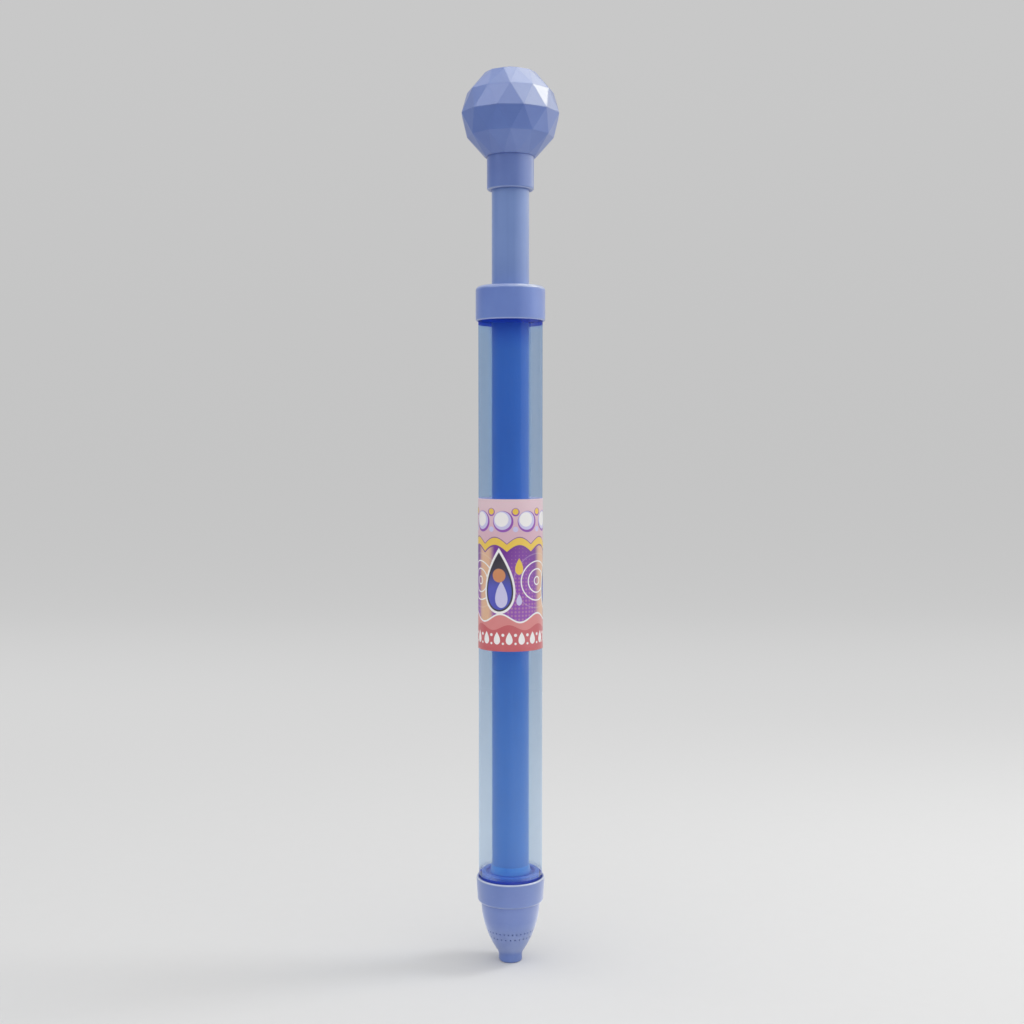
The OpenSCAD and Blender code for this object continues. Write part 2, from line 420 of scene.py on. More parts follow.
@dataclass(frozen=True)
class ClearPlastic(Finish):
    """Clear tinted tube: a see-through wall with a thin hazy veil, dust and a gloss, and painted light and
    shade: a painted reflection that pales its sides, painted light near its foot, painted shade near its top
    and at its ends and a painted glint just above the collar.

    Attributes:
        front_low: What the wall's outside lets through near the foot, seen face on, paler than near the top,
            which paints the light from the floor.
        front_high: The same near the top, deeper, which paints shade there.
        side_low: What the wall's outside lets through near the foot, seen at a slant, paler than face on,
            which paints the reflection at the sides.
        side_high: The same near the top, deeper, which paints shade there.
        end_painted_shade: The deep blue that the wall's outside lets through at the tube's ends, which paints
            the shade inside the collar and under the cap.
        end_painted_sheet: The deep blue of a lit sheet that the wall shows at its ends, which paints the same
            shade.
        end_sheet_share: How much of that painted sheet shows there.
        rim_painted_glint: The colour of the wall seen at a slant just above the collar, a painted glint.
        rim_glint_share: How much of that colour shows there.
        haze_and_reflection: The colour of the hazy veil, which also paints the reflection that pales the
            sides.
        slant_painted_reflection: How much painted reflection a face shows where it is seen at a slant, laid
            on as hazy veil.
        plain_haze: How much hazy veil a face shows all over.
        dust_haze: How much hazy veil a speck of dust adds.
        slant: Between which slants the front's tint gives way to the side's.
        tint: Between which heights the tint changes from low to high, from the painted light near the foot to
            the painted shade near the top.
        rim: Between which heights that painted glint fades.
        brow: Between which heights the hazy veil fades below the cap, which keeps the painted shade there
            deep.
        streak_stretch: How fine the wall's streaks are along each axis.
        streak_depth: How deep the streaks are.
        dust_scale: How fine the dust is.
        roughness: How rough the gloss is.
        gloss: How strong the gloss is, seen face on.
        slant_gloss: How much stronger the gloss is at a slant.
    """

    front_low: Colour
    front_high: Colour
    side_low: Colour
    side_high: Colour
    end_painted_shade: Colour
    end_painted_sheet: Colour
    end_sheet_share: float
    rim_painted_glint: Colour
    rim_glint_share: float
    haze_and_reflection: Colour
    slant_painted_reflection: float
    plain_haze: float = 0.01
    dust_haze: float = 0.02
    slant: Range = (0.05, 0.32)
    tint: Range = (60.0 * MM, 330.0 * MM)
    rim: Range = (54.0 * MM, 57.0 * MM)
    brow: Range = (377.0 * MM, 380.5 * MM)
    streak_stretch: Triple = (900.0, 900.0, 4.0)
    streak_depth: float = 0.01 * MM
    dust_scale: float = 700.0
    roughness: float = 0.07
    gloss: float = 0.03
    slant_gloss: float = 0.1

    @staticmethod
    def pane(graph: Graph, tint: Colour) -> Wire:
        """Makes a see-through face that lets a tint through."""
        return graph.node("ShaderNodeBsdfTransparent", inputs={"Color": tint})

    def shader(self, graph: Graph) -> Wire:
        """Adds the finish's nodes.

        Args:
            graph: The material's graph.

        Returns:
            The shader to show.
        """
        streaks = graph.noise(graph.place(self.streak_stretch), 1.0, 3.0)
        dust = graph.noise(graph.place(), self.dust_scale, 4.0).ease(0.66, 0.8)
        facing = graph.node("ShaderNodeLayerWeight", inputs={"Blend": 0.5}).out("Facing")
        slant = facing.ease(*self.slant)
        normal = graph.bump(streaks, self.streak_depth, 0.25)
        height = graph.split(graph.place())[2]
        # Paler towards the foot and deeper towards the top: painted light and painted shade
        rise = height.ease(*self.tint)
        # A painted glint on the wall seen at a slant just above the collar
        rim = slant * (1.0 - height.ease(*self.rim))
        marked, lining = graph.edges()
        # The marked ends show painted shade: a deep blue let through and a lit deep-blue sheet
        near_end = marked + slant * (marked.ease(0.5, 1.0) - marked)
        front = graph.layer(rise, self.pane(graph, self.front_low), self.pane(graph, self.front_high))
        side = graph.layer(rise, self.pane(graph, self.side_low), self.pane(graph, self.side_high))
        glow = graph.node("ShaderNodeBsdfDiffuse", inputs={"Color": self.end_painted_sheet})
        ends = graph.layer(self.end_sheet_share, self.pane(graph, self.end_painted_shade), glow)
        clear = graph.layer(near_end, graph.layer(slant, front, side), ends)
        clear = graph.layer(lining, clear, self.pane(graph, WHITE))
        veil = graph.node(
            "ShaderNodeBsdfPrincipled",
            inputs={
                "Base Color": graph.blend(rim, self.haze_and_reflection, self.rim_painted_glint),
                "Roughness": self.roughness + 0.1 * streaks,
                "Normal": normal,
            },
        )
        # The veil holds a real hazy film and dust, a painted reflection on the sides and the painted glint
        # above the collar
        gathered = self.plain_haze + self.slant_painted_reflection * slant + self.dust_haze * dust + self.rim_glint_share * rim
        gathered = gathered * (1.0 - marked - lining) * (1.0 - height.ease(*self.brow))
        gloss = graph.node("ShaderNodeBsdfGlossy", inputs={"Roughness": self.roughness, "Normal": normal})
        shine = (self.gloss + self.slant_gloss * facing ** 4.0) * (1.0 - 0.6 * lining)
        return graph.layer(shine, graph.layer(gathered, clear, veil), gloss)


@dataclass(frozen=True)
class PrintedFilm(Finish):
    """Semi-gloss film printed with drops, bubbles and waves, whose back face glows with a painted light.

    Attributes:
        width: Printed width round the barrel, in millimetres, as are all lengths on the film.
        height: Printed height, in millimetres.
        fade_scale: How fine the faded patches are.
        tooth_scale: How fine the film's tooth is.
        crinkle_stretch: How fine its crinkles are along each axis.
        crinkle_depth: How deep its crinkles are.
    """

    width: float
    height: float
    fade_scale: float = 60.0
    tooth_scale: float = 1800.0
    crinkle_stretch: Triple = (60.0, 60.0, 40.0)
    crinkle_depth: float = 0.08 * MM

    PINK = srgb(225, 183, 200)
    BLUSH = srgb(235, 204, 214)
    PURPLE = srgb(114, 24, 154)
    VIOLET = srgb(146, 60, 184)
    CORAL = srgb(206, 91, 99)
    ROSE = srgb(225, 135, 135)
    CREAM = srgb(253, 251, 251)
    GOLD = srgb(246, 206, 66)
    LILAC = srgb(212, 208, 246)
    ROYAL = srgb(70, 76, 196)
    NAVY = srgb(34, 22, 48)
    PEACH = srgb(233, 187, 152)
    TAN = srgb(216, 140, 88)
    # The glow on the film's back, a painted light that stands for light through the film
    BACK_PAINTED_GLOW = srgb(190, 170, 180)

    @staticmethod
    def ink(distance: Wire, soft: float = 0.18) -> Wire:
        """Gives 1 inside a shape, from the distance to its outline, which is negative inside."""
        return 1.0 - distance.ease(-soft, soft)

    def repeat(self, across: Wire, count: int, shift: float = 0.0) -> Wire:
        """Gives the place across one motif of a round of them, with 0 in its middle."""
        pitch = self.width / count
        return ((across / pitch + (shift + 0.5)).fraction() - 0.5) * pitch

    def disc(self, x: Wire, y: Wire, height: float, radius: float) -> Wire:
        """Gives the distance from a disc, negative inside."""
        rise = y - height
        return (x * x + rise * rise).root() - radius

    def drop(self, x: Wire, y: Wire, foot: float, tall: float, wide: float) -> Wire:
        """Measures the distance from a drop with a round foot and a pointed top.

        Args:
            x: Place across the motif.
            y: Place up the film.
            foot: Height of the drop's foot.
            tall: Height of the drop.
            wide: Width of the drop.

        Returns:
            The distance, negative inside.
        """
        share = ((y - foot) / tall).most(0.0).least(1.0)
        fullest = math.sqrt(1 / 3) * (2 / 3)
        half = share.root() * (1.0 - share) * (wide / 2 / fullest)
        return abs(x) - half + 0.2

    def wave(self, across: Wire, count: int, height: float, swing: float, shift: float = 0.0) -> Wire:
        """Gives the height of a wavy line round the film, turned by a share of one wave."""
        return (across * (TURN * count / self.width) + TURN * shift).sine() * swing + height

    def shader(self, graph: Graph) -> Wire:
        """Adds the finish's nodes.

        Args:
            graph: The material's graph.

        Returns:
            The shader to show.
        """
        right, rise, _ = graph.split(graph.node("ShaderNodeUVMap", {"uv_map": PRINT_UV}))
        across = right * self.width
        up = rise * self.height
        colour = self.VIOLET
        for share, tone in self.field(across, up) + self.bands(across, up) + self.motifs(across, up):
            colour = graph.blend(share, colour, tone)
        here = graph.place()
        fade = graph.noise(here, self.fade_scale, 3.0)
        crinkle = graph.noise(graph.place(self.crinkle_stretch), 1.0, 3.0)
        tooth = graph.noise(here, self.tooth_scale)
        return graph.node(
            "ShaderNodeBsdfPrincipled",
            inputs={
                "Base Color": graph.blend(0.1 * fade, colour, self.CREAM),
                # All but the printed face glow with a painted light
                "Emission Color": graph.blend(rise.ease(*BACK_STARTS), BLACK, self.BACK_PAINTED_GLOW),
                "Emission Strength": 1.0,
                "Roughness": 0.34 + 0.14 * (fade - 0.5) + 0.06 * tooth,
                "Normal": graph.bump(0.8 * crinkle + 0.2 * tooth, self.crinkle_depth, 0.4),
            },
        )

    def field(self, across: Wire, up: Wire) -> Inks:
        """Prints the purple field with its fine dots and spreading ripples.

        Args:
            across: Place across the film.
            up: Place up the film.

        Returns:
            The share and the colour of each ink, in the order they are laid.
        """
        swing = self.wave(across, count=3, height=0.0, swing=0.16, shift=0.1)
        glow = (up / self.height + swing).ease(0.2, 0.7)
        light = self.wave(across, count=3, height=0.0, swing=1.0, shift=0.17).ease(0.4, 0.97)
        pitch, dot = 2.2, 0.7
        column = ((across / pitch).fraction() - 0.5) * pitch
        row = ((up / pitch).fraction() - 0.5) * pitch
        dots = self.ink((column * column + row * row).root() - dot * (1.0 - glow))
        spacing, line = 4.6, 0.36
        centre = self.disc(self.repeat(across, count=3, shift=-0.95), up, height=41.0, radius=0.0)
        rings = self.ink(abs((centre / spacing).fraction() - 0.5) * spacing - line)
        rings = rings * (1.0 - centre.ease(13.0, 17.0))
        return [(glow, self.PURPLE), (light, self.PEACH), (0.3 * dots, self.PEACH), (rings, self.CREAM)]

    def bands(self, across: Wire, up: Wire) -> Inks:
        """Prints the scalloped pink top and the coral waves at the foot.

        Args:
            across: Place across the film.
            up: Place up the film.

        Returns:
            The share and the colour of each ink, in the order they are laid.
        """
        scallop = 60.5 + abs(self.wave(across, count=4, height=0.0, swing=4.0, shift=0.07))
        swell = self.wave(across, count=5, height=19.5, swing=2.4)
        ripple = self.wave(across, count=6, height=14.0, swing=1.6, shift=0.3)
        rim, ribbon, hem, crest = 3.0, 2.1, 2.6, 0.5
        return [
            (self.ink(abs(up - scallop) - rim), self.PURPLE),
            (self.ink(abs(up - scallop) - ribbon), self.GOLD),
            (self.ink(scallop - up + hem), up.graph.blend(up.ease(66.0, 88.0), self.PINK, self.BLUSH)),
            (self.ink(up - swell), self.ROSE),
            (self.ink(abs(up - swell) - crest), self.CREAM),
            (self.ink(up - ripple), self.CORAL),
        ]

    def motifs(self, across: Wire, up: Wire) -> Inks:
        """Prints the drops, bubbles and beads.

        Args:
            across: Place across the film.
            up: Place up the film.

        Returns:
            The share and the colour of each ink, in the order they are laid.
        """
        large = self.repeat(across, count=3, shift=-0.326)
        beside = self.repeat(across, count=3, shift=-0.63)
        bubbles = self.repeat(across, count=8, shift=0.3)
        between = self.repeat(across, count=8, shift=-0.2)
        beads = self.repeat(across, count=16, shift=0.1)
        pips = self.repeat(across, count=16, shift=0.6)
        depth = up.graph.blend(up.ease(36.0, 50.0), self.ROYAL, self.NAVY)
        shapes = (
            (self.drop(large, up, foot=22.0, tall=39.0, wide=20.0), self.CREAM),
            (self.drop(large, up, foot=23.4, tall=35.0, wide=17.6), self.NAVY),
            (self.drop(large, up, foot=24.4, tall=32.0, wide=15.6), depth),
            (self.drop(large - 1.4, up, foot=25.6, tall=16.0, wide=8.0), self.LILAC),
            (self.disc(large, up, height=44.5, radius=4.0), self.TAN),
            (self.drop(beside, up, foot=45.0, tall=10.0, wide=5.2), self.GOLD),
            (self.drop(beside, up, foot=27.0, tall=7.0, wide=3.8), self.LILAC),
            (self.disc(bubbles, up, height=76.0, radius=6.2), self.VIOLET),
            (self.disc(bubbles + 0.4, up, height=76.6, radius=5.4), self.LILAC),
            (self.disc(bubbles + 0.9, up, height=77.2, radius=4.2), self.CREAM),
            (self.disc(between, up, height=81.5, radius=2.4), self.VIOLET),
            (self.disc(between, up, height=81.8, radius=1.8), self.GOLD),
            (self.disc(between, up, height=71.5, radius=1.6), self.LILAC),
            (self.drop(beads, up, foot=4.0, tall=7.6, wide=4.4), self.CREAM),
            (self.disc(pips, up, height=9.6, radius=0.9), self.CREAM),
            (self.disc(pips, up, height=4.6, radius=0.7), self.CREAM),
        )
        return [(self.ink(shape), tone) for shape, tone in shapes]


@dataclass(frozen=True)
class SealRubber(Finish):
    """Soft black rubber with a dusty bloom and a fine moulded skin.

    Attributes:
        black: The rubber's own colour.
        bloom: The colour of the bloom on it.
        cloud_scale: How fine the bloom's patches are.
        skin_scale: How fine its skin is.
        skin_depth: How deep its skin is.
    """

    black: Colour
    bloom: Colour
    cloud_scale: float = 160.0
    skin_scale: float = 3200.0
    skin_depth: float = 0.03 * MM

    def shader(self, graph: Graph) -> Wire:
        """Adds the finish's nodes.

        Args:
            graph: The material's graph.

        Returns:
            The shader to show.
        """
        here = graph.place()
        cloud = graph.noise(here, self.cloud_scale, 4.0)
        skin = graph.noise(here, self.skin_scale)
        return graph.node(
            "ShaderNodeBsdfPrincipled",
            inputs={
                "Base Color": graph.blend(cloud.ease(0.45, 0.75), self.black, self.bloom),
                "Roughness": 0.5 + 0.2 * cloud,
                "Normal": graph.bump(skin, self.skin_depth, 0.5),
            },
        )


@dataclass(frozen=True)
class StudioPaper(Finish):
    """Pale seamless paper that takes light and shadow near the object and shows an even tone further back.

    Attributes:
        floor: The paper's own colour.
        shade: How the floor away from the object looks to the object, which keeps stray light off it.
        gleam: How the floor round the object's foot looks in its gloss.
        gleam_left: The same to the left of the object.
        gleam_right: The same to the right of the object.
        back: Its tone on the floor behind the object.
        low: Its tone at the foot of the wall.
        high: Its tone at the top of the wall.
        aside: Its tone far to the sides, which is that of the room beyond it.
        even: Between which depths behind the object the even tone takes over.
        depth: Between which depths the floor's tone gives way to the wall's.
        rise: Between which heights the wall's tone changes.
        sides: Between which distances to the sides the tone gives way to the room's.
        around: Between which distances from the object the shade takes over.
        foot: Between which distances the gleam starts at the object's foot.
        pool: Between which distances the gleam first falls.
        pool_end: Between which distances it falls off.
        left: Between which places across the left gleam gives way to the middle one.
        right: Between which places across the middle gleam gives way to the right one.
        fibre_scale: How fine the paper's fibres are.
    """

    floor: Colour
    shade: Colour
    gleam: Colour
    gleam_left: Colour
    gleam_right: Colour
    back: Colour
    low: Colour
    high: Colour
    aside: Colour
    even: Range = (0.15, 0.9)
    depth: Range = (0.4, 2.4)
    rise: Range = (0.3, 1.5)
    sides: Range = (1.6, 4.2)
    around: Range = (0.1, 0.8)
    foot: Range = (0.0, 0.06)
    pool: Range = (0.08, 0.16)
    pool_end: Range = (0.25, 1.5)
    left: Range = (-0.05, -0.005)
    right: Range = (0.0, 0.1)
    fibre_scale: float = 90.0

    def shader(self, graph: Graph) -> Wire:
        """Adds the finish's nodes.

        Args:
            graph: The material's graph.

        Returns:
            The shader to show.
        """
        x, y, z = graph.split(graph.place())
        fibre = graph.noise(graph.place(), self.fibre_scale, 4.0)
        ray = graph.node("ShaderNodeLightPath")
        camera, glossy = ray.out("Is Camera Ray"), ray.out("Is Glossy Ray")
        distance = (x ** 2.0 + y ** 2.0).root()
        stray = distance.ease(*self.around) * ray.out("Is Diffuse Ray").most(glossy)
        sheet = graph.blend(0.06 * fibre, self.floor, self.low)
        paper = graph.node(
            "ShaderNodeBsdfPrincipled",
            inputs={
                "Base Color": graph.blend(stray, sheet, self.shade),
                "Roughness": 0.85 + 0.1 * fibre,
                "Specular IOR Level": 0.1,
            },
        )
        tone = graph.blend(y.ease(*self.depth), self.back, self.low)
        tone = graph.blend(z.ease(*self.rise), tone, self.high)
        tone = graph.blend(abs(x).ease(*self.sides) * camera, tone, self.aside)
        pool = 1.0 - 0.3 * distance.ease(*self.pool) - 0.7 * distance.ease(*self.pool_end)
        pool = glossy * pool * distance.ease(*self.foot)
        bright = graph.blend(x.ease(*self.left), self.gleam_left, self.gleam)
        bright = graph.blend(x.ease(*self.right), bright, self.gleam_right)
        even = graph.node("ShaderNodeEmission", inputs={"Color": graph.blend(pool, tone, bright)})
        seen = camera.most(glossy).most(ray.out("Is Transmission Ray"))
        return graph.layer((seen * y.ease(*self.even)).most(pool), paper, even)


LAVENDER = SatinPlastic(
    "lavender_plastic", Slot.LAVENDER,
    pale=(0.118, 0.209, 0.58, 1.0), deep=(0.1, 0.18, 0.542, 1.0), worn_and_highlight=(0.5, 0.58, 0.8, 1.0),
    grain=Grain.MOULDED,
)
# A lighter copy of the lavender, which paints more light on the cap
CAP_LAVENDER_PAINTED_LIGHT = SatinPlastic(
    "cap_plastic_painted_light", Slot.LAVENDER,
    pale=(0.14, 0.248, 0.68, 1.0), deep=(0.121, 0.216, 0.638, 1.0), worn_and_highlight=(0.5, 0.58, 0.8, 1.0),
    grain=Grain.MOULDED,
)
# A darker copy of the lavender, a painted shade on the collar and nose; its pale edge colour paints the
# highlight on the collar's rim and the light on the lower nose, besides their rubbing
NOSE_LAVENDER_PAINTED_LIGHT_AND_SHADE = SatinPlastic(
    "nose_plastic_painted_light_and_shade", Slot.LAVENDER,
    pale=(0.1, 0.176, 0.478, 1.0), deep=(0.085, 0.152, 0.446, 1.0), worn_and_highlight=(0.8, 0.85, 0.94, 1.0),
    grain=Grain.MOULDED,
)
ROD_BLUE = SatinPlastic(
    "rod_plastic", Slot.ROD,
    pale=(0.172, 0.29, 0.66, 1.0), deep=(0.152, 0.264, 0.618, 1.0), worn_and_highlight=(0.3, 0.4, 0.7, 1.0),
    # The last colour deepens the rod where it sits in the tube, a painted shade
    grain=Grain.DRAWN, sheltered_painted_shade=(0.42, 0.87, 1.04, 1.0),
)
PISTON_BLUE = SatinPlastic(
    "piston_plastic", Slot.ROD,
    # Its pale edge colour paints the glint on the hub
    pale=(0.03, 0.19, 0.74, 1.0), deep=(0.024, 0.17, 0.68, 1.0), worn_and_highlight=(0.1, 0.4, 0.86, 1.0),
    grain=Grain.MOULDED, bloom=0.05, gloss=0.3,
)
# The bush's deep blue is darkened, which paints the shade under the cap
GUIDE_BLUE_PAINTED_SHADE = SatinPlastic(
    "guide_plastic", Slot.GUIDE,
    pale=(0.02, 0.06, 0.5, 1.0), deep=(0.016, 0.05, 0.44, 1.0), worn_and_highlight=(0.03, 0.07, 0.52, 1.0),
    grain=Grain.MOULDED, bloom=0.05, gloss=0.3,
)
CLEAR_BLUE = ClearPlastic(
    "clear_barrel", Slot.CLEAR,
    # The tints pale towards the foot as painted light and deepen towards the top as painted shade; the ends
    # hold painted shade, the rim a painted glint and the sides a painted reflection
    front_low=(0.65, 0.81, 0.93, 1.0), front_high=(0.5, 0.705, 0.955, 1.0),
    side_low=(0.775, 0.865, 0.975, 1.0), side_high=(0.605, 0.745, 0.93, 1.0),
    end_painted_shade=(0.07, 0.17, 0.91, 1.0), end_painted_sheet=(0.015, 0.08, 0.6, 1.0), end_sheet_share=0.4,
    rim_painted_glint=(0.25, 0.42, 0.9, 1.0), rim_glint_share=0.3,
    haze_and_reflection=(0.75, 0.75, 0.62, 1.0), slant_painted_reflection=0.1,
)
BLACK_RUBBER = SealRubber(
    "seal_rubber", Slot.RUBBER, black=(0.012, 0.012, 0.014, 1.0), bloom=(0.045, 0.045, 0.05, 1.0),
)
SEAMLESS = StudioPaper(
    "seamless_paper", None, floor=grey(0.745), shade=grey(0.29),
    gleam=grey(1.8), gleam_left=grey(1.35), gleam_right=(2.3, 2.3, 2.2, 1.0),
    back=grey(0.69), low=grey(0.555), high=grey(0.578), aside=grey(0.72),
)


@dataclass(frozen=True)
class Corner:
    """A corner of a turned outline.

    Attributes:
        r: Distance from the axis.
        z: Height.
        fillet: Radius of the rounding there.
        edge: How much of an edge it is: all of one if it is rounded and none if it isn't, unless set.
    """

    r: float
    z: float
    fillet: float = 0.0
    edge: float | None = None


def arc_corners(centre: Vector, radius: float, start: float, stop: float, steps: int) -> list[Corner]:
    """Lists the corners along an arc about (r, z), from one angle in radians to another."""
    angles = [start + (stop - start) * i / steps for i in range(steps + 1)]
    return [Corner(centre.x + radius * math.cos(a), centre.y + radius * math.sin(a)) for a in angles]


class Outline:
    """A closed outline in the half plane of r and z that is turned about the axis to make a piece."""

    def __init__(self, corners: Sequence[Corner]) -> None:
        """Rounds the corners and keeps the points, counter-clockwise.

        Args:
            corners: The outline's corners, in order either way round.
        """
        self.points: list[tuple[float, float, float]] = []
        for i, at in enumerate(corners):
            self.points += self.rounded(corners[i - 1], at, corners[(i + 1) % len(corners)])
        pairs = zip(self.points, self.points[1:] + self.points[:1])
        if sum(a[0] * b[1] - b[0] * a[1] for a, b in pairs) < 0:
            self.points.reverse()

    @staticmethod
    def rounded(before: Corner, at: Corner, after: Corner) -> list[tuple[float, float, float]]:
        """Rounds one corner.

        Args:
            before: The corner before it.
            at: The corner itself.
            after: The corner after it.

        Returns:
            Its points, each with r, z and how much of an edge it is.
        """
        if at.fillet == 0:
            return [(at.r, at.z, at.edge or 0.0)]
        corner = Vector((at.r, at.z))
        back = (Vector((before.r, before.z)) - corner).normalized()
        on = (Vector((after.r, after.z)) - corner).normalized()
        half = back.angle(on) / 2
        centre = corner + (back + on).normalized() * (at.fillet / math.sin(half))
        first = corner + back * (at.fillet / math.tan(half)) - centre
        last = corner + on * (at.fillet / math.tan(half)) - centre
        start = math.atan2(first.y, first.x)
        sweep = (math.atan2(last.y, last.x) - start + math.pi) % TURN - math.pi
        points = []
        for i in range(EDGE_STEPS + 1):
            share = i / EDGE_STEPS
            a = start + sweep * share
            edge = (1 - abs(2 * share - 1)) * (1.0 if at.edge is None else at.edge)
            points.append((centre.x + at.fillet * math.cos(a), centre.y + at.fillet * math.sin(a), edge))
        return points

    def turned(self, name: str, steps: int = ROUND_STEPS) -> bpy.types.Mesh:
        """Turns the outline right round the axis.

        Args:
            name: Name of the mesh.
            steps: How many pieces go round.

        Returns:
            The closed mesh.
        """
        shape = bmesh.new()
        layer = shape.verts.layers.float.new(EDGE_ATTRIBUTE)
        rings = []
        for r, z, edge in self.points:
            on_axis = r < 1e-9
            ring = [
                shape.verts.new((r * math.cos(TURN * k / steps), r * math.sin(TURN * k / steps), z))
                for k in range(1 if on_axis else steps)
            ]
            for vert in ring:
                vert[layer] = edge
            rings.append(ring)
        for low, high in zip(rings, rings[1:] + rings[:1]):
            for k in range(steps):
                n = (k + 1) % steps
                around = [low[k % len(low)], low[n % len(low)], high[n % len(high)], high[k % len(high)]]
                distinct = list(dict.fromkeys(around))
                if len(distinct) > 2:
                    shape.faces.new(distinct)
        mesh = bpy.data.meshes.new(name)
        shape.to_mesh(mesh)
        shape.free()
        return mesh


@dataclass(frozen=True)
class Span:
    """A node's place in the frame.

    Attributes:
        foot: Its lowest height.
        top: Its highest height.
        radius: Its reach along X.
    """

    foot: float
    top: float
    radius: float

    @classmethod
    def of(cls, node: str) -> "Span":
        """Measures a node in the frame."""
        low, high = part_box(node)
        return cls(low.z, high.z, high.x)


def evaluated(holder: bpy.types.Object) -> bpy.types.Mesh:
    """Turns an object with modifiers into a plain mesh and removes the object.

    Args:
        holder: The object.

    Returns:
        The plain mesh.
    """
    graph = bpy.context.evaluated_depsgraph_get()
    mesh = bpy.data.meshes.new_from_object(
        holder.evaluated_get(graph), preserve_all_data_layers=True, depsgraph=graph
    )
    mesh.name = holder.name
    bpy.data.objects.remove(holder)
    return mesh


def held(mesh: bpy.types.Mesh) -> bpy.types.Object:
    """Puts a mesh in the scene.

    Args:
        mesh: The mesh.

    Returns:
        The object that holds it.
    """
    holder = bpy.data.objects.new(mesh.name, mesh)
    bpy.context.scene.collection.objects.link(holder)
    return holder


def modified(mesh: bpy.types.Mesh, kind: str, **settings: object) -> bpy.types.Mesh:
    """Applies one modifier to a mesh.

    Args:
        mesh: The mesh.
        kind: The modifier's type.
        settings: The modifier's settings.

    Returns:
        The new mesh.
    """
    holder = held(mesh)
    modifier = holder.modifiers.new(kind.title(), kind)
    for name, value in settings.items():
        setattr(modifier, name, value)
    return evaluated(holder)


def combined(mesh: bpy.types.Mesh, tool: bpy.types.Mesh, operation: str) -> bpy.types.Mesh:
    """Cuts a mesh with another or joins them into one solid.

    Args:
        mesh: The mesh.
        tool: The other mesh.
        operation: The Boolean modifier's operation.

    Returns:
        The new mesh.
    """
    other = held(tool)
    made = modified(mesh, "BOOLEAN", object=other, operation=operation, solver="EXACT")
    bpy.data.objects.remove(other)
    return made


class RuleTree:
    """A Geometry Nodes tree with named inputs that makes one mesh."""

    def __init__(self, name: str, counts: Sequence[str], sizes: Sequence[str]) -> None:
        """Makes the tree's interface.

        Args:
            name: Name of the tree.
            counts: Names of its inputs that are whole numbers.
            sizes: Names of its inputs that are lengths and angles.
        """
        self.tree = bpy.data.node_groups.new(name, "GeometryNodeTree")
        self.tree.interface.new_socket("Geometry", in_out="OUTPUT", socket_type="NodeSocketGeometry")
        inputs = dict.fromkeys(counts, "NodeSocketInt") | dict.fromkeys(sizes, "NodeSocketFloat")
        self.identifiers: dict[str, str] = {}
        for label, kind in {**inputs, "Finish": "NodeSocketMaterial"}.items():
            made = self.tree.interface.new_socket(label, in_out="INPUT", socket_type=kind)
            self.identifiers[label] = made.identifier
        self.graph = Graph(self.tree)
        self.given = self.graph.node("NodeGroupInput")

    def size(self, label: str) -> Wire:
        """Gives one of the tree's inputs."""
        return self.given.out(label)

    def ring(self, count: Wire, radius: Wire, height: Wire, turn: Wire) -> Wire:
        """Sets corners in a ring about the axis.

        Args:
            count: How many corners there are.
            radius: Radius of the ring.
            height: Height of the ring.
            turn: How far the ring is turned.

        Returns:
            The ring.
        """
        graph = self.graph
        circle = graph.node("GeometryNodeMeshCircle", inputs={"Vertices": count, "Radius": radius})
        turned = graph.node("FunctionNodeEulerToRotation", inputs={"Euler": graph.join(z=turn)})
        places = {"Geometry": circle, "Translation": graph.join(z=height), "Rotation": turned}
        return graph.node("GeometryNodeTransform", inputs=places)

    def close(self, geometry: Wire) -> None:
        """Ends the tree in real geometry with its finish.

        Args:
            geometry: The geometry to end with.
        """
        real = self.graph.node("GeometryNodeRealizeInstances", inputs={"Geometry": geometry})
        dressed = self.graph.node(
            "GeometryNodeSetMaterial", inputs={"Geometry": real, "Material": self.size("Finish")}
        )
        self.graph.node("NodeGroupOutput", inputs={"Geometry": dressed})

    def grow(self, name: str, values: Mapping[str, object]) -> bpy.types.Mesh:
        """Runs the tree.

        Args:
            name: Name of the mesh.
            values: Value of each input, by name.

        Returns:
            The plain mesh.
        """
        holder = held(bpy.data.meshes.new(name))
        modifier = holder.modifiers.new("Rule", "NODES")
        modifier.node_group = self.tree
        for label, value in values.items():
            modifier[self.identifiers[label]] = value
        return evaluated(holder)


def faceted_ball() -> RuleTree:
    """Builds the rule of the faceted ball: rings of corners on a sphere, each half a facet on from the last.

    Returns:
        The tree.
    """
    rule = RuleTree("faceted_ball", ["Facets"], ["Radius", "Belt Radius", "Middle Latitude", "End Latitude"])
    graph = rule.graph
    facets, radius = rule.size("Facets"), rule.size("Radius")
    middle, end = rule.size("Middle Latitude"), rule.size("End Latitude")
    half_facet = math.pi / facets
    rings = []
    for latitude, side, turn in ((end, -1, 1), (middle, -1, 0), (middle, 0, 1), (middle, 1, 0), (end, 1, 1)):
        angle = latitude * side
        reach = radius * graph.math("COSINE", angle) if side else rule.size("Belt Radius")
        rings.append(rule.ring(facets, reach, radius * angle.sine(), half_facet * turn))
    apex = graph.node("GeometryNodeMeshLine", inputs={"Count": 1, "Start Location": graph.join(z=radius)})
    corners = graph.node("GeometryNodeJoinGeometry", inputs={"Geometry": rings + [apex]})
    rule.close(graph.node("GeometryNodeConvexHull", inputs={"Geometry": corners}))
    return rule


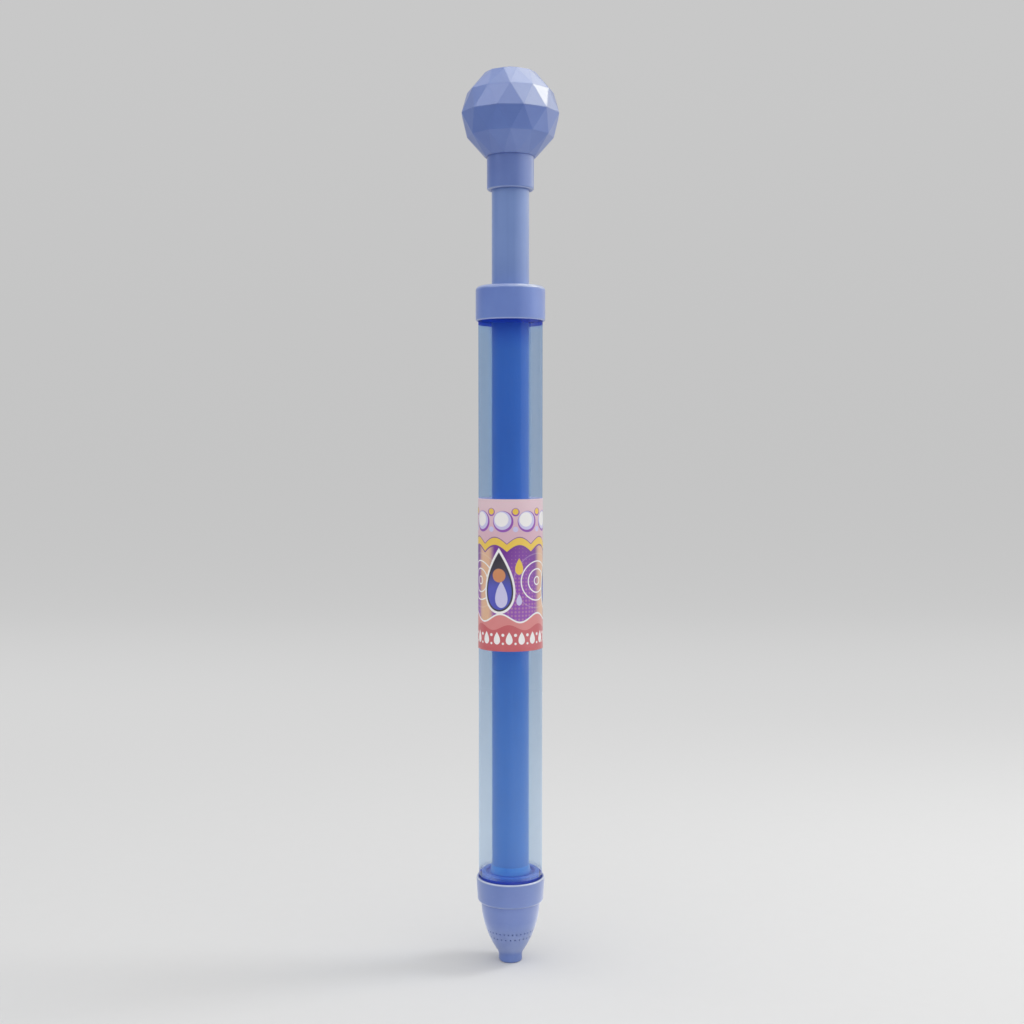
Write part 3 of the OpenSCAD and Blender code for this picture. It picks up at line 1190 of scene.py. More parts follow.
def pin_row() -> RuleTree:
    """Builds the rule of a row of pins that stand square to a leaning wall, all round the axis.

    Returns:
        The tree.
    """
    rule = RuleTree("pin_row", ["Count"], ["Row Radius", "Row Height", "Lean", "Pin Radius", "Pin Length"])
    graph = rule.graph
    count, lean = rule.size("Count"), rule.size("Lean")
    row = rule.ring(count, rule.size("Row Radius"), rule.size("Row Height"), math.pi / count)
    here = graph.node("GeometryNodeInputPosition")
    outward = graph.vector("NORMALIZE", graph.vector("MULTIPLY", here, (1.0, 1.0, 0.0)))
    level = graph.math("COSINE", lean)
    flat = graph.vector("MULTIPLY", outward, graph.join(level, level, level))
    axis = graph.vector("ADD", flat, graph.join(z=lean.sine()))
    stand = graph.node("FunctionNodeAlignRotationToVector", {"axis": "Z"}, {"Vector": axis})
    pin = graph.node(
        "GeometryNodeMeshCylinder",
        inputs={"Vertices": PIN_SIDES, "Radius": rule.size("Pin Radius"), "Depth": rule.size("Pin Length")},
    )
    pins = {"Points": row, "Instance": pin, "Rotation": stand}
    rule.close(graph.node("GeometryNodeInstanceOnPoints", inputs=pins))
    return rule


class SubAssembly:
    """A group of pieces that are built and dressed together."""

    def turn(self, name: str, corners: Sequence[Corner], finish: Finish, body: Body, node: str) -> None:
        """Turns an outline's corners into a piece and dresses it."""
        self.dress(name, Outline(corners).turned(name), finish, body, node)

    def dress(self, name: str, mesh: bpy.types.Mesh, finish: Finish, body: Body, node: str) -> None:
        """Shades a mesh, gives it its finish and ties it to the frame.

        Args:
            name: Name of the piece.
            mesh: Its mesh, already in place.
            finish: Its finish.
            body: The body it rides on.
            node: The node it stands for.
        """
        mesh.name = name
        mesh.materials.clear()
        mesh.materials.append(finish.material())
        mesh.shade_smooth()
        mesh.set_sharp_from_angle(angle=SMOOTH_BELOW)
        shaded = modified(mesh, "WEIGHTED_NORMAL", keep_sharp=True)
        shaded.name = name
        piece = held(shaded)
        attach(piece, body.value)
        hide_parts(node)
        log.info("%s: %d faces, %s, rides on %s", name, len(shaded.polygons), finish.name, body.value)


@dataclass
class Barrel(SubAssembly):
    """The clear tube and the printed film wrapped round it.

    Attributes:
        wall: Wall of the tube.
        end_round: Rounding of the tube's ends.
        film: Thickness of the label.
        seam: Bare strip between the label's ends, at the back.
        line: Height of the painted shade above the collar.
        shade: Height of the painted shade below the cap.
        fade: Height over which that painted shade fades.
        reach: How far below the cap a lighter painted shade still deepens the tube.
        dusk: How strong that lighter painted shade is.
    """

    wall: float = 1.6 * MM
    end_round: float = 0.3 * MM
    film: float = 0.2 * MM
    seam: float = 1.5 * MM
    line: float = 1.4 * MM
    shade: float = 1.9 * MM
    fade: float = 0.4 * MM
    reach: float = 18.0 * MM
    dusk: float = 0.3

    def build(self) -> None:
        """Builds and dresses the tube and the label."""
        tube = Span.of("barrel_tube")
        outer, bore = tube.radius, tube.radius - self.wall
        rim = Span.of("nozzle_collar").top + self.line
        mouth = Span.of("top_cap").foot
        low, high = tube.foot + 2 * self.end_round, tube.top - 2 * self.end_round
        # The outer face is marked where the tube shows painted shade, above the collar and below the cap; the
        # bore is marked below zero
        corners = [
            Corner(outer, tube.foot, self.end_round),
            Corner(outer, low, edge=1.0),
            Corner(outer, rim, edge=1.0),
            Corner(outer, rim + self.fade),
            Corner(outer, mouth - self.reach),
            Corner(outer, mouth - self.shade - self.fade, edge=self.dusk),
            Corner(outer, mouth - self.shade, edge=1.0),
            Corner(outer, high, edge=1.0),
            Corner(outer, tube.top, self.end_round),
            Corner(bore, tube.top, self.end_round, -1.0),
            Corner(bore, high, edge=-1.0),
            Corner(bore, low, edge=-1.0),
            Corner(bore, tube.foot, self.end_round, -1.0),
        ]
        self.turn("clear_tube", corners, CLEAR_BLUE, Body.BARREL, "barrel_tube")
        self.build_label()

    def build_label(self) -> None:
        """Builds the label as a film with its print laid flat in its UV map."""
        span = Span.of("label_wrap")
        outer = -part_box("label_wrap")[0].y
        inner = outer - self.film
        gap = self.seam / outer
        section = [(inner, span.foot), (outer, span.foot), (outer, span.top), (inner, span.top)]
        shape = bmesh.new()
        sheet = shape.loops.layers.uv.new(PRINT_UV)
        columns = []
        for k in range(ROUND_STEPS + 1):
            angle = TURN / 4 + gap / 2 + (TURN - gap) * k / ROUND_STEPS
            way = Vector((math.cos(angle), math.sin(angle), 0))
            columns.append([shape.verts.new(way * r + Vector((0, 0, z))) for r, z in section])
        share = {vert: k / ROUND_STEPS for k, column in enumerate(columns) for vert in column}
        printed = set()
        for left, right in zip(columns, columns[1:]):
            for i in range(4):
                j = (i + 1) % 4
                face = shape.faces.new((left[i], right[i], right[j], left[j]))
                if i == 1:
                    printed.add(face)
        shape.faces.new(columns[0])
        shape.faces.new(columns[-1][::-1])
        for face in shape.faces:
            for loop in face.loops:
                rise = (loop.vert.co.z - span.foot) / (span.top - span.foot)
                # All but the printed face are set above the print, where the film paints a glow
                loop[sheet].uv = (share[loop.vert], rise if face in printed else BACK_OF_PRINT)
        bmesh.ops.recalc_face_normals(shape, faces=shape.faces)
        mesh = bpy.data.meshes.new("label_film")
        shape.to_mesh(mesh)
        shape.free()
        width = (TURN - gap) * outer / MM
        print_finish = PrintedFilm("label_print", Slot.PRINT, width, (span.top - span.foot) / MM)
        self.dress("label_film", mesh, print_finish, Body.BARREL, "label_wrap")


@dataclass
class CapAndGuide(SubAssembly):
    """The cap over the barrel's upper end and the bush under it that keeps the rod in line.

    Attributes:
        plate: Thickness of the cap's top.
        edge_round: Rounding of the cap's upper edge.
        rim_round: Rounding of the cap's lower rim.
        lip_round: Rounding round the rod's hole.
        inner_round: Rounding of the lower rim's inner edge.
        play: Play round the rod.
        fit: Play round the barrel.
        guide_wall: Wall of the guide's rings.
        guide_floor: Thickness of the guide's floor.
        guide_round: Rounding of the guide's edges.
    """

    plate: float = 2.2 * MM
    edge_round: float = 2.4 * MM
    rim_round: float = 0.9 * MM
    lip_round: float = 0.5 * MM
    inner_round: float = 0.3 * MM
    play: float = 0.2 * MM
    fit: float = 0.05 * MM
    guide_wall: float = 1.7 * MM
    guide_floor: float = 2.0 * MM
    guide_round: float = 0.4 * MM

    def build(self) -> None:
        """Builds and dresses the cap and the guide."""
        cap = Span.of("top_cap")
        seat = Span.of("barrel_tube").radius + self.fit
        hole = Span.of("plunger_rod").radius + self.play
        under = cap.top - self.plate
        corners = [
            Corner(hole, cap.top, self.lip_round),
            Corner(hole, under),
            Corner(seat, under),
            Corner(seat, cap.foot, self.inner_round),
            Corner(cap.radius, cap.foot, self.rim_round),
            Corner(cap.radius, cap.top, self.edge_round),
        ]
        self.turn("cap_shell", corners, CAP_LAVENDER_PAINTED_LIGHT, Body.BARREL, "top_cap")
        guide = Span.of("rod_guide")
        inner = hole + self.guide_wall
        outer = guide.radius - self.guide_wall
        floor = guide.foot + self.guide_floor
        corners = [
            Corner(hole, guide.foot, self.guide_round),
            Corner(guide.radius, guide.foot, self.guide_round),
            Corner(guide.radius, guide.top),
            Corner(outer, guide.top),
            Corner(outer, floor, self.guide_round),
            Corner(inner, floor, self.guide_round),
            Corner(inner, guide.top),
            Corner(hole, guide.top),
        ]
        self.turn("rod_bush", corners, GUIDE_BLUE_PAINTED_SHADE, Body.BARREL, "rod_guide")


@dataclass
class Nozzle(SubAssembly):
    """The collar at the barrel's lower end, the spray nose it holds and the gasket between nose and barrel.

    Attributes:
        lip: Thickness of the collar's inward lip.
        lift: How far the collar's lower edge stands above its node's foot.
        draft: How much narrower the collar is at its foot.
        foot_round: Rounding of the collar's lower edge.
        foot_wear_and_highlight: How pale the collar's lower edges are, partly rubbed and partly a painted
            highlight.
        rim_round: Rounding of the collar's rim.
        inner_round: Rounding of the collar's inner edges.
        gasket_round: Rounding of the gasket's edges.
        play: Play between pieces that are pressed together.
        tip_d: Diameter of the straight tip.
        tip_len: Length of the straight tip.
        tip_round: Rounding of the tip's lower edge.
        tip_fillet: Soft fillet where the tip runs into the nose.
        fillet_room: Room that the nose's curve leaves for that fillet, as a multiple of its length.
        outlet_d: Diameter of the jet outlet.
        outlet_round: Rounding of the jet outlet's edge.
        nose_step: Step from the barrel's outside in to the nose.
        nose_wall: Wall of the nose.
        swell: Swell of the nose outline beyond a straight cone.
        curve_steps: How many pieces the nose's curve has.
        lining_steps: How many pieces the curve of its inside has.
        flange: Thickness of the nose's flange.
        hole_d: Diameter of a spray hole.
        rub: How much painted light the nose's lower part shows where it shows most.
        painted_light_low: Height from which that painted light is strongest.
        painted_light_mid: Height up to which it is strongest.
        painted_light_high: Height from which the nose shows none of it.
        rows: Share along the nose's curve and number of holes of each row.
    """

    lip: float = 2.0 * MM
    lift: float = 0.7 * MM
    draft: float = 0.9 * MM
    foot_round: float = 1.6 * MM
    foot_wear_and_highlight: float = 0.3
    rim_round: float = 1.05 * MM
    inner_round: float = 0.35 * MM
    gasket_round: float = 0.525 * MM
    play: float = 0.05 * MM
    tip_d: float = 14.0 * MM
    tip_len: float = 5.2 * MM
    tip_round: float = 1.3 * MM
    tip_fillet: float = 6.5 * MM
    fillet_room: float = 1.15
    outlet_d: float = 5.0 * MM
    outlet_round: float = 0.433 * MM
    nose_step: float = 1.4 * MM
    nose_wall: float = 2.0 * MM
    swell: float = 2.4 * MM
    curve_steps: int = 40
    lining_steps: int = 30
    flange: float = 2.0 * MM
    hole_d: float = 0.8 * MM
    rub: float = 0.2
    painted_light_low: float = 8.5 * MM
    painted_light_mid: float = 18.0 * MM
    painted_light_high: float = 27.0 * MM
    rows: tuple[tuple[float, int], ...] = ((0.5, 36), (0.38, 30))

    def build(self) -> None:
        """Builds and dresses the collar, the nose and the gasket."""
        barrel = Span.of("barrel_tube")
        collar = Span.of("nozzle_collar")
        ring = Span.of("nozzle_gasket")
        nose_r = barrel.radius - self.nose_step
        seat, hole = barrel.radius + self.play, nose_r + self.play
        ledge = collar.foot + self.lip
        foot = collar.foot + self.lift
        # The collar's rounded rim and foot edges turn paler, partly rubbed and partly a painted highlight
        corners = [
            Corner(seat, collar.top, self.inner_round),
            Corner(seat, ledge),
            Corner(hole, ledge),
            Corner(hole, foot, self.inner_round, self.foot_wear_and_highlight),
            Corner(collar.radius - self.draft, foot, self.foot_round, self.foot_wear_and_highlight),
            Corner(collar.radius, collar.top, self.rim_round),
        ]
        self.turn("collar_ring", corners, NOSE_LAVENDER_PAINTED_LIGHT_AND_SHADE, Body.BARREL, "nozzle_collar")
        nose = self.nose_mesh(nose_r, collar.foot, ledge, barrel.radius)
        self.dress("nose_shell", nose, NOSE_LAVENDER_PAINTED_LIGHT_AND_SHADE, Body.BARREL, "spray_nose")
        bore = nose_r - self.nose_wall
        places = ((bore, ring.foot), (ring.radius, ring.foot), (ring.radius, ring.top), (bore, ring.top))
        corners = [Corner(r, z, self.gasket_round) for r, z in places]
        self.turn("gasket_ring", corners, BLACK_RUBBER, Body.BARREL, "nozzle_gasket")

    def painted_light_at(self, z: float) -> float:
        """Says how much painted light the nose shows at a height.

        Args:
            z: The height.

        Returns:
            How much of an edge the nose is marked as there, which lays on that painted light.
        """
        rise = (z - self.tip_len) / (self.painted_light_low - self.tip_len)
        fall = (self.painted_light_high - z) / (self.painted_light_high - self.painted_light_mid)
        return self.rub * min(max(min(rise, fall), 0.0), 1.0)

    def nose_mesh(self, nose_r: float, nose_top: float, ledge: float, flange_r: float) -> bpy.types.Mesh:
        """Turns the nose and drills its rows of spray holes.

        Args:
            nose_r: Radius of the nose where it enters the collar.
            nose_top: Height of the collar's foot.
            ledge: Height of the flange's underside.
            flange_r: Radius of the flange.

        Returns:
            The drilled nose.
        """
        tip_r = self.tip_d / 2
        outlet = self.outlet_d / 2
        low = Vector((tip_r, self.tip_len))
        high = Vector((nose_r, nose_top))
        chord = (high - low).length
        radius = chord * chord / (8 * self.swell) + self.swell / 2
        lean = math.atan2(high.x - low.x, high.y - low.y)
        outward = Vector((math.cos(lean), -math.sin(lean)))
        centre = (low + high) / 2 - outward * (radius - self.swell)
        half_turn = math.asin(chord / 2 / radius)
        start, stop = -lean - half_turn, -lean + half_turn
        inner = radius - self.nose_wall
        floor = centre.y + inner * math.sin(start)
        skip = self.fillet_room * self.tip_fillet * math.tan(-start / 2) / radius
        top = ledge + self.flange
        curve = arc_corners(centre, radius, start + skip, stop, self.curve_steps)
        lining = arc_corners(centre, inner, stop, start, self.lining_steps)
        corners = [
            Corner(outlet, 0.0, self.outlet_round, 0.0),
            Corner(tip_r, 0.0, self.tip_round, 0.0),
            Corner(tip_r, self.tip_len, self.tip_fillet, 0.0),
            *curve,
            Corner(nose_r, ledge),
            Corner(flange_r, ledge),
            Corner(flange_r, top),
            Corner(nose_r - self.nose_wall, top),
            *lining,
            Corner(outlet, floor),
        ]
        outline = Outline(corners)
        # The lower nose is marked as an edge, which paints light on it as if from the floor
        outline.points = [(r, z, max(edge, self.painted_light_at(z))) for r, z, edge in outline.points]
        mesh = outline.turned("nose_shell", NOSE_STEPS)
        rule = pin_row()
        for share, count in self.rows:
            angle = start + (stop - start) * share
            middle = radius - self.nose_wall / 2
            pins = rule.grow(
                "spray_pins",
                {
                    "Count": count,
                    "Row Radius": centre.x + middle * math.cos(angle),
                    "Row Height": centre.y + middle * math.sin(angle),
                    "Lean": angle,
                    "Pin Radius": self.hole_d / 2,
                    "Pin Length": 2 * self.nose_wall,
                    "Finish": NOSE_LAVENDER_PAINTED_LIGHT_AND_SHADE.material(),
                },
            )
            mesh = combined(mesh, pins, "DIFFERENCE")
        return mesh


@dataclass
class Plunger(SubAssembly):
    """The hollow rod, the piston at its foot and the piston's two seal rings.

    Attributes:
        rod_wall: Wall of the rod.
        rod_round: Rounding of the rod's ends.
        play: Play between pieces that are pressed together.
        rim_h: Height of the piston's rim.
        floor: Thickness of the piston's floor.
        hub_wall: Wall of the hub round the rod.
        dish: Depth of the dished ring between hub and rim.
        hub_fillet: Soft fillet at the hub's foot.
        edge_round: Rounding of the piston's rim.
        spigot_h: Height of the spigot inside the rod.
        groove_gap: Play between a seal ring and its groove.
        lip_h: Height of the lip at the piston's rim.
        lip_gap: Play between that lip and the barrel.
        fillet_painted_glint: How strong the painted glint on the hub's fillet is.
        hub_painted_glint: How strong the painted glint on the hub is at the rim's height.
        seal_steps: How many pieces a seal ring's section has.
    """

    rod_wall: float = 1.5 * MM
    rod_round: float = 0.3 * MM
    play: float = 0.05 * MM
    rim_h: float = 13.3 * MM
    floor: float = 3.0 * MM
    hub_wall: float = 1.25 * MM
    dish: float = 2.0 * MM
    hub_fillet: float = 1.5 * MM
    edge_round: float = 0.6 * MM
    spigot_h: float = 10.0 * MM
    groove_gap: float = 0.12 * MM
    lip_h: float = 2.4 * MM
    lip_gap: float = 0.15 * MM
    fillet_painted_glint: float = 0.4
    hub_painted_glint: float = 0.8
    seal_steps: int = 24

    def build(self) -> None:
        """Builds and dresses the rod, the piston and the seals."""
        rod = Span.of("plunger_rod")
        cap = Span.of("top_cap")
        bore = rod.radius - self.rod_wall
        corners = [
            Corner(bore, rod.foot, self.rod_round),
            Corner(rod.radius, rod.foot, self.rod_round),
            # From here up to the cap's foot the rod is marked as sheltered, where its finish paints shade
            Corner(rod.radius, rod.foot + self.spigot_h, edge=-1.0),
            Corner(rod.radius, cap.foot, edge=-1.0),
            Corner(rod.radius, cap.top),
            Corner(rod.radius, rod.top, self.rod_round),
            Corner(bore, rod.top, self.rod_round),
        ]
        self.turn("rod_tube", corners, ROD_BLUE, Body.PLUNGER, "plunger_rod")
        seals = {which: Span.of(f"piston_seal_{which}") for which in ("upper", "lower")}
        corners = self.piston_corners(rod, [seals["lower"], seals["upper"]])
        self.turn("piston_head", corners, PISTON_BLUE, Body.PLUNGER, "piston")
        for which, seal in seals.items():
            section = (seal.top - seal.foot) / 2
            centre = Vector((seal.radius - section, seal.foot + section))
            corners = arc_corners(centre, section, 0.0, TURN, self.seal_steps)[:-1]
            self.turn(f"seal_ring_{which}", corners, BLACK_RUBBER, Body.SEALS, f"piston_seal_{which}")

    def piston_corners(self, rod: Span, seals: Sequence[Span]) -> list[Corner]:
        """Lists the corners of the piston with its grooves, dish, hub and spigot.

        Args:
            rod: The rod's place.
            seals: The places of the seal rings, from the lowest up.

        Returns:
            The corners in order.
        """
        piston = Span.of("piston")
        rim_top = piston.foot + self.rim_h
        dish = rim_top - self.dish
        bed = piston.foot + self.floor
        socket = rod.radius + self.play
        hub = rod.radius + self.hub_wall
        spigot = rod.radius - self.rod_wall - self.play
        spigot_bore = spigot - self.rod_wall
        spigot_top = bed + self.spigot_h
        lip = Span.of("barrel_tube").radius - Barrel.wall - self.lip_gap
        groove = min(seal.radius - (seal.top - seal.foot) for seal in seals) - self.groove_gap
        grooves = []
        for seal in seals:
            low, high = seal.foot - self.groove_gap, seal.top + self.groove_gap
            grooves += [Corner(piston.radius, low), Corner(groove, low)]
            grooves += [Corner(groove, high), Corner(piston.radius, high)]
        return [
            Corner(0.0, bed),
            Corner(0.0, piston.foot),
            Corner(piston.radius, piston.foot, self.edge_round),
            *grooves,
            Corner(lip, rim_top - self.lip_h),
            Corner(lip, rim_top, self.edge_round, 0.0),
            Corner(groove, rim_top, self.edge_round, 0.0),
            Corner(groove, dish, self.edge_round, 0.0),
            # The hub's fillet, its side and its top edge carry a painted glint
            Corner(hub, dish, self.hub_fillet, self.fillet_painted_glint),
            Corner(hub, rim_top, edge=self.hub_painted_glint),
            Corner(socket + 2 * self.play, piston.top, edge=1.0),
            Corner(socket, piston.top),
            Corner(socket, bed),
            Corner(spigot, bed),
            Corner(spigot, spigot_top, self.rod_round),
            Corner(spigot_bore, spigot_top, self.rod_round),
            Corner(spigot_bore, bed),
        ]


@dataclass
class Knob(SubAssembly):
    """The faceted ball in two shells, the lower one moulded with the neck that takes the rod.

    Attributes:
        facets: Facets round the ball.
        middle_latitude: Latitude of the middle rings of corners, in degrees.
        end_latitude: Latitude of the end rings of corners, in degrees.
        wall: Wall of the shells.
        facet_round: Rounding of the edges between facets.
        facet_steps: How many pieces that rounding has.
        facet_angle: Angle in degrees from which an edge between facets is rounded.
        neck_wall: Wall of the neck round the rod.
        neck_round: Rounding of the neck's lower edge.
        neck_reach: How far the neck reaches into the ball.
        socket_round: Rounding of the socket's lower edge.
        play: Play between pieces that are pressed together.
        lap: Height of the ring that joins the shells.
    """

    facets: int = 12
    middle_latitude: float = 27.0
    end_latitude: float = 58.0
    wall: float = 2.2 * MM
    facet_round: float = 0.3 * MM
    facet_steps: int = 2
    facet_angle: float = 5.0
    neck_wall: float = 2.8 * MM
    neck_round: float = 1.2 * MM
    neck_reach: float = 3.52 * MM
    socket_round: float = 0.3 * MM
    play: float = 0.05 * MM
    lap: float = 3.0 * MM

    def build(self) -> None:
        """Builds and dresses the two shells."""
        upper = Span.of("knob_upper_shell")
        equator = upper.foot
        radius = upper.top - equator
        belt = upper.radius / math.cos(math.pi / self.facets)
        ball = faceted_ball().grow(
            "ball",
            {
                "Radius": radius,
                "Belt Radius": belt,
                "Facets": self.facets,
                "Middle Latitude": math.radians(self.middle_latitude),
                "End Latitude": math.radians(self.end_latitude),
                "Finish": LAVENDER.material(),
            },
        )
        ball.transform(Matrix.Translation((0, 0, equator)))
        top = self.shell(ball, equator, 1)
        self.dress("knob_top", top, LAVENDER, Body.PLUNGER, "knob_upper_shell")
        bottom = self.shell(ball, equator, -1)
        bottom = combined(bottom, self.neck_mesh(equator, radius), "UNION")
        bottom = combined(bottom, self.lap_mesh(equator, radius, belt), "UNION")
        self.dress("knob_bottom", bottom, LAVENDER, Body.PLUNGER, "knob_lower_shell")

    def shell(self, ball: bpy.types.Mesh, equator: float, side: int) -> bpy.types.Mesh:
        """Cuts half of the ball, gives it a wall and softens its edges.

        Args:
            ball: The closed faceted ball.
            equator: Height of its equator.
            side: 1 for the upper half and -1 for the lower.

        Returns:
            The hollow half.
        """
        shape = bmesh.new()
        shape.from_mesh(ball)
        away = [f for f in shape.faces if (f.calc_center_median().z - equator) * side < 0]
        bmesh.ops.delete(shape, geom=away, context="FACES")
        half = bpy.data.meshes.new("half_ball")
        shape.to_mesh(half)
        shape.free()
        thick = modified(half, "SOLIDIFY", thickness=self.wall, offset=-1.0, use_even_offset=True)
        return modified(
            thick, "BEVEL", width=self.facet_round, segments=self.facet_steps, limit_method="ANGLE",
            angle_limit=math.radians(self.facet_angle), use_clamp_overlap=True,
        )

    def neck_mesh(self, equator: float, radius: float) -> bpy.types.Mesh:
        """Turns the neck with its blind socket for the rod.

        Args:
            equator: Height of the ball's equator.
            radius: Radius of the ball.

        Returns:
            The neck.
        """
        neck = Span.of("knob_lower_shell")
        rod = Span.of("plunger_rod")
        seat = equator - radius * math.sin(math.radians(self.end_latitude)) + self.neck_reach
        socket = rod.radius + self.play
        neck_r = rod.radius + self.neck_wall
        return Outline(
            [
                Corner(socket, rod.top),
                Corner(socket, neck.foot, self.socket_round),
                Corner(neck_r, neck.foot, self.neck_round),
                Corner(neck_r, seat),
                Corner(0.0, seat),
                Corner(0.0, rod.top),
            ]
        ).turned("neck")

    def lap_mesh(self, equator: float, radius: float, belt: float) -> bpy.types.Mesh:
        """Turns the ring inside the shells that joins them.

        Args:
            equator: Height of the ball's equator.
            radius: Radius of the ball.
            belt: Radius of the equator's corners.

        Returns:
            The ring, which stands in the lower shell and reaches into the upper one.
        """
        cavity = radius - self.wall
        middle = math.radians(self.middle_latitude)
        opening = (belt - self.wall) * math.cos(math.pi / self.facets)
        lean = (opening - cavity * math.cos(middle)) / (cavity * math.sin(middle))
        lap_r = opening - self.lap * lean - self.play
        return Outline(
            [
                Corner(lap_r - self.wall, equator - 2 * self.lap),
                Corner(lap_r + self.wall / 2, equator - 2 * self.lap),
                Corner(lap_r + self.wall / 2, equator - self.lap),
                Corner(lap_r, equator - self.lap),
                Corner(lap_r, equator + self.lap),
                Corner(lap_r - self.wall, equator + self.lap),
            ]
        ).turned("lap_ring")


NEUTRAL: Triple = (1.0, 1.0, 1.0)
WARM: Triple = (1.0, 0.98, 0.8)
GOLDEN: Triple = (1.0, 0.94, 0.68)


@dataclass(frozen=True)
class Softbox:
    """A square soft lamp that points at the object.

    Attributes:
        name: Name of the lamp.
        place: Where it stands.
        width: Its width.
        radiance: How bright its face is.
        tint: Its colour.
        aim: Height on the object's axis that it points at.
        reach: What it does.
    """

    name: str
    place: Triple
    width: float
    radiance: float
    tint: Triple = NEUTRAL
    aim: float = 0.5
    reach: Reach = Reach.GLOSS

    def light(self, paper: bpy.types.Collection) -> None:
        """Puts the lamp in the scene.

        Args:
            paper: What a lamp for the paper alone falls on.
        """
        lamp = bpy.data.lights.new(self.name, "AREA")
        lamp.shape = "SQUARE"
        lamp.size = self.width
        lamp.color = self.tint
        lamp.energy = self.radiance * math.pi * self.width ** 2
        stand = bpy.data.objects.new(self.name, lamp)
        stand.location = self.place
        way = Vector((0.0, 0.0, self.aim)) - Vector(self.place)
        stand.rotation_euler = way.to_track_quat("-Z", "Y").to_euler()
        stand.visible_camera = False
        stand.visible_diffuse = self.reach is Reach.PAPER
        if self.reach is Reach.PAPER:
            stand.light_linking.receiver_collection = paper
        bpy.context.scene.collection.objects.link(stand)


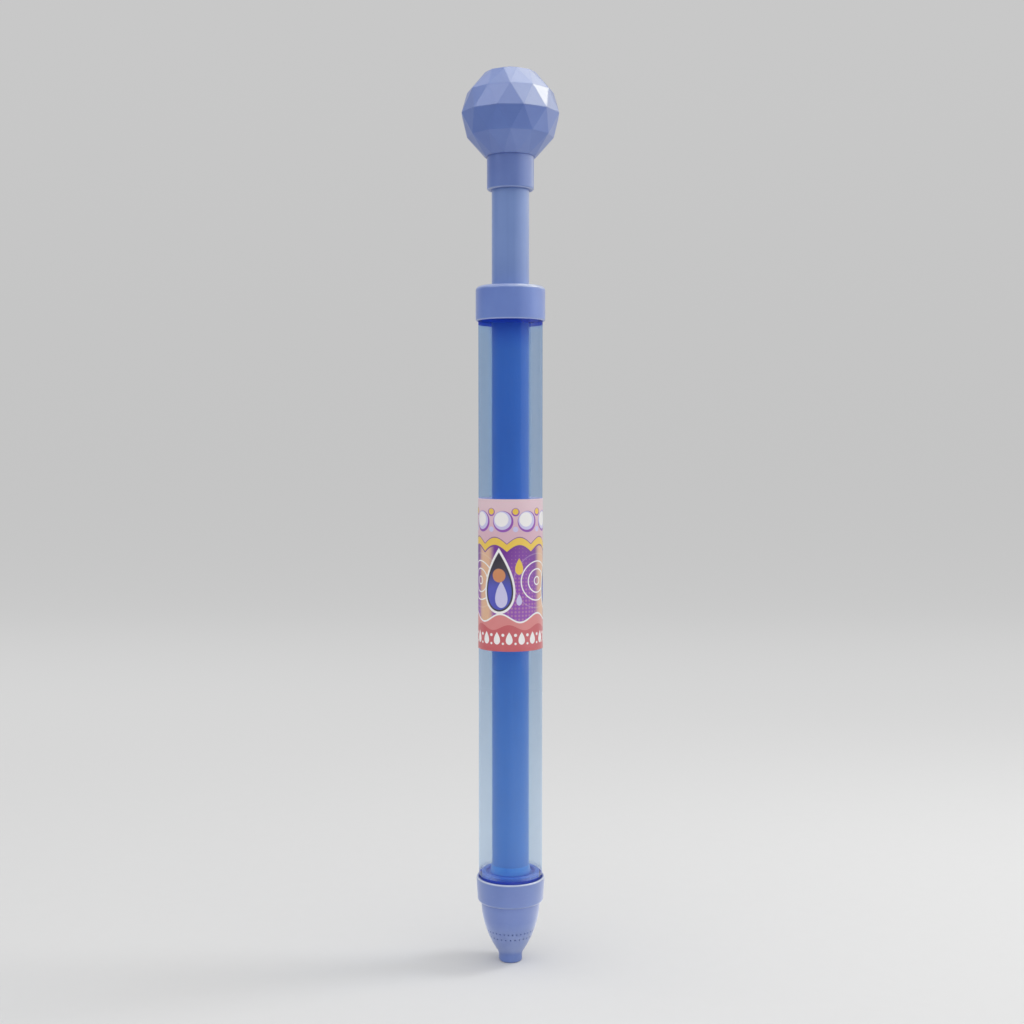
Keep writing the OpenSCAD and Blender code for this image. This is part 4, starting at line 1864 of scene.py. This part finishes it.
@dataclass
class Studio:
    """The seamless paper, the lamps and the camera.

    Attributes:
        paper_width: Width of the paper.
        paper_front: How far the paper reaches in front of the object.
        floor_cuts: Depths at which the floor is divided, which keeps its shading flat round the object.
        bend_start: Depth behind the object at which the paper turns up.
        bend_radius: Radius of that turn.
        bend_steps: How many pieces that turn has.
        wall_height: Height of the paper's wall.
        ambient: Brightness of the light from all round.
        gleam: Brightness of the same in gloss.
        beyond: How bright it looks past the paper's edges.
        sensor: Width of the camera's sensor, in millimetres.
        lens: Focal length of the camera, in millimetres.
        camera_place: Where the camera stands.
        tilt: How far it looks down, in degrees.
        lamps: The lamps.
    """

    paper_width: float = 9.0
    paper_front: float = 4.0
    floor_cuts: Range = (-1.0, 0.0)
    bend_start: float = 1.6
    bend_radius: float = 1.2
    bend_steps: int = 24
    wall_height: float = 3.5
    ambient: float = 1.0
    gleam: float = 0.15
    beyond: float = 0.72
    sensor: float = 36.0
    lens: float = 48.64
    camera_place: Triple = (0.0009, -0.8212, 0.313)
    tilt: float = 2.95
    lamps: tuple[Softbox, ...] = (
        Softbox("key_gloss", (0.92, 0.3, 1.26), 0.32, 16.5, GOLDEN),
        Softbox("back_gloss", (0.42, 0.55, 1.5), 0.8, 2.9, WARM),
        Softbox("right_gloss", (0.51, -0.6, 1.54), 0.45, 6.0, WARM),
        Softbox("right_low_gloss", (0.98, -0.4, 1.26), 0.5, 6.6, WARM),
        Softbox("rim_gloss", (0.91, 0.75, 0.95), 0.6, 2.0, WARM),
        Softbox("rim_low_gloss", (0.91, 0.91, 0.3), 0.9, 0.6, aim=0.3),
        Softbox("side_gloss", (1.05, 0.1, 0.5), 0.75, 1.6, aim=0.4),
        Softbox("front_right_gloss", (0.95, -0.55, 0.36), 0.9, 0.75, aim=0.4),
        Softbox("left_gloss", (-1.0, -0.42, 1.24), 0.55, 2.9, aim=0.4),
        Softbox("left_high_gloss", (-0.5, -0.6, 1.54), 0.45, 3.2),
        Softbox("left_back_gloss", (-0.62, 0.55, 1.42), 0.7, 1.05),
        Softbox("front_gloss", (0.0, -1.3, 1.68), 0.8, 2.0),
        Softbox("top_gloss", (0.12, 0.08, 1.85), 0.8, 3.4, WARM, aim=0.0),
        Softbox("key_lamp", (0.84, 0.16, 1.2), 0.32, 13.3, aim=0.1, reach=Reach.PAPER),
    )

    def build(self) -> None:
        """Builds the paper, the lamps, the world and the camera."""
        paper = bpy.data.collections.new("paper")
        paper.objects.link(self.roll_paper())
        for lamp in self.lamps:
            lamp.light(paper)
        self.fill_world()
        self.set_camera()

    def roll_paper(self) -> bpy.types.Object:
        """Makes the floor and the wall as one sheet with a wide bend.

        Returns:
            The sheet.
        """
        profile = [(y, 0.0) for y in (-self.paper_front, *self.floor_cuts, self.bend_start)]
        for i in range(1, self.bend_steps + 1):
            a = math.pi / 2 * i / self.bend_steps
            run, rise = self.bend_radius * math.sin(a), self.bend_radius * (1 - math.cos(a))
            profile.append((self.bend_start + run, rise))
        profile.append((self.bend_start + self.bend_radius, self.wall_height))
        shape = bmesh.new()
        half = self.paper_width / 2
        sides = [[shape.verts.new((x, y, z)) for y, z in profile] for x in (-half, half)]
        for i in range(len(profile) - 1):
            shape.faces.new((sides[0][i], sides[1][i], sides[1][i + 1], sides[0][i + 1]))
        mesh = bpy.data.meshes.new("seamless_paper")
        shape.to_mesh(mesh)
        shape.free()
        mesh.shade_smooth()
        mesh.materials.append(SEAMLESS.material())
        sheet = held(mesh)
        return sheet

    def fill_world(self) -> None:
        """Lights the scene evenly from all round."""
        world = bpy.data.worlds.new("studio")
        world.use_nodes = True
        graph = Graph(world.node_tree)
        ray = graph.node("ShaderNodeLightPath")
        strength = self.ambient + (self.gleam - self.ambient) * ray.out("Is Glossy Ray")
        strength = strength + (self.beyond - self.ambient) * ray.out("Is Camera Ray")
        light = graph.node("ShaderNodeBackground", inputs={"Color": WHITE, "Strength": strength})
        graph.node("ShaderNodeOutputWorld", inputs={"Surface": light})
        bpy.context.scene.world = world

    def set_camera(self) -> None:
        """Stands the camera in front of the object."""
        camera = bpy.data.cameras.new("camera")
        camera.sensor_width = self.sensor
        camera.lens = self.lens
        stand = bpy.data.objects.new("camera", camera)
        stand.location = self.camera_place
        stand.rotation_euler = (math.radians(90 - self.tilt), 0.0, 0.0)
        bpy.context.scene.collection.objects.link(stand)
        bpy.context.scene.camera = stand


def main() -> None:
    """Builds the squirter and its studio."""
    logging.basicConfig(level=logging.INFO, format="%(message)s")
    bpy.context.scene.view_settings.view_transform = "Standard"
    for part in (Barrel(), CapAndGuide(), Nozzle(), Plunger(), Knob()):
        part.build()
    Studio().build()


if __name__ == "__main__":
    main()
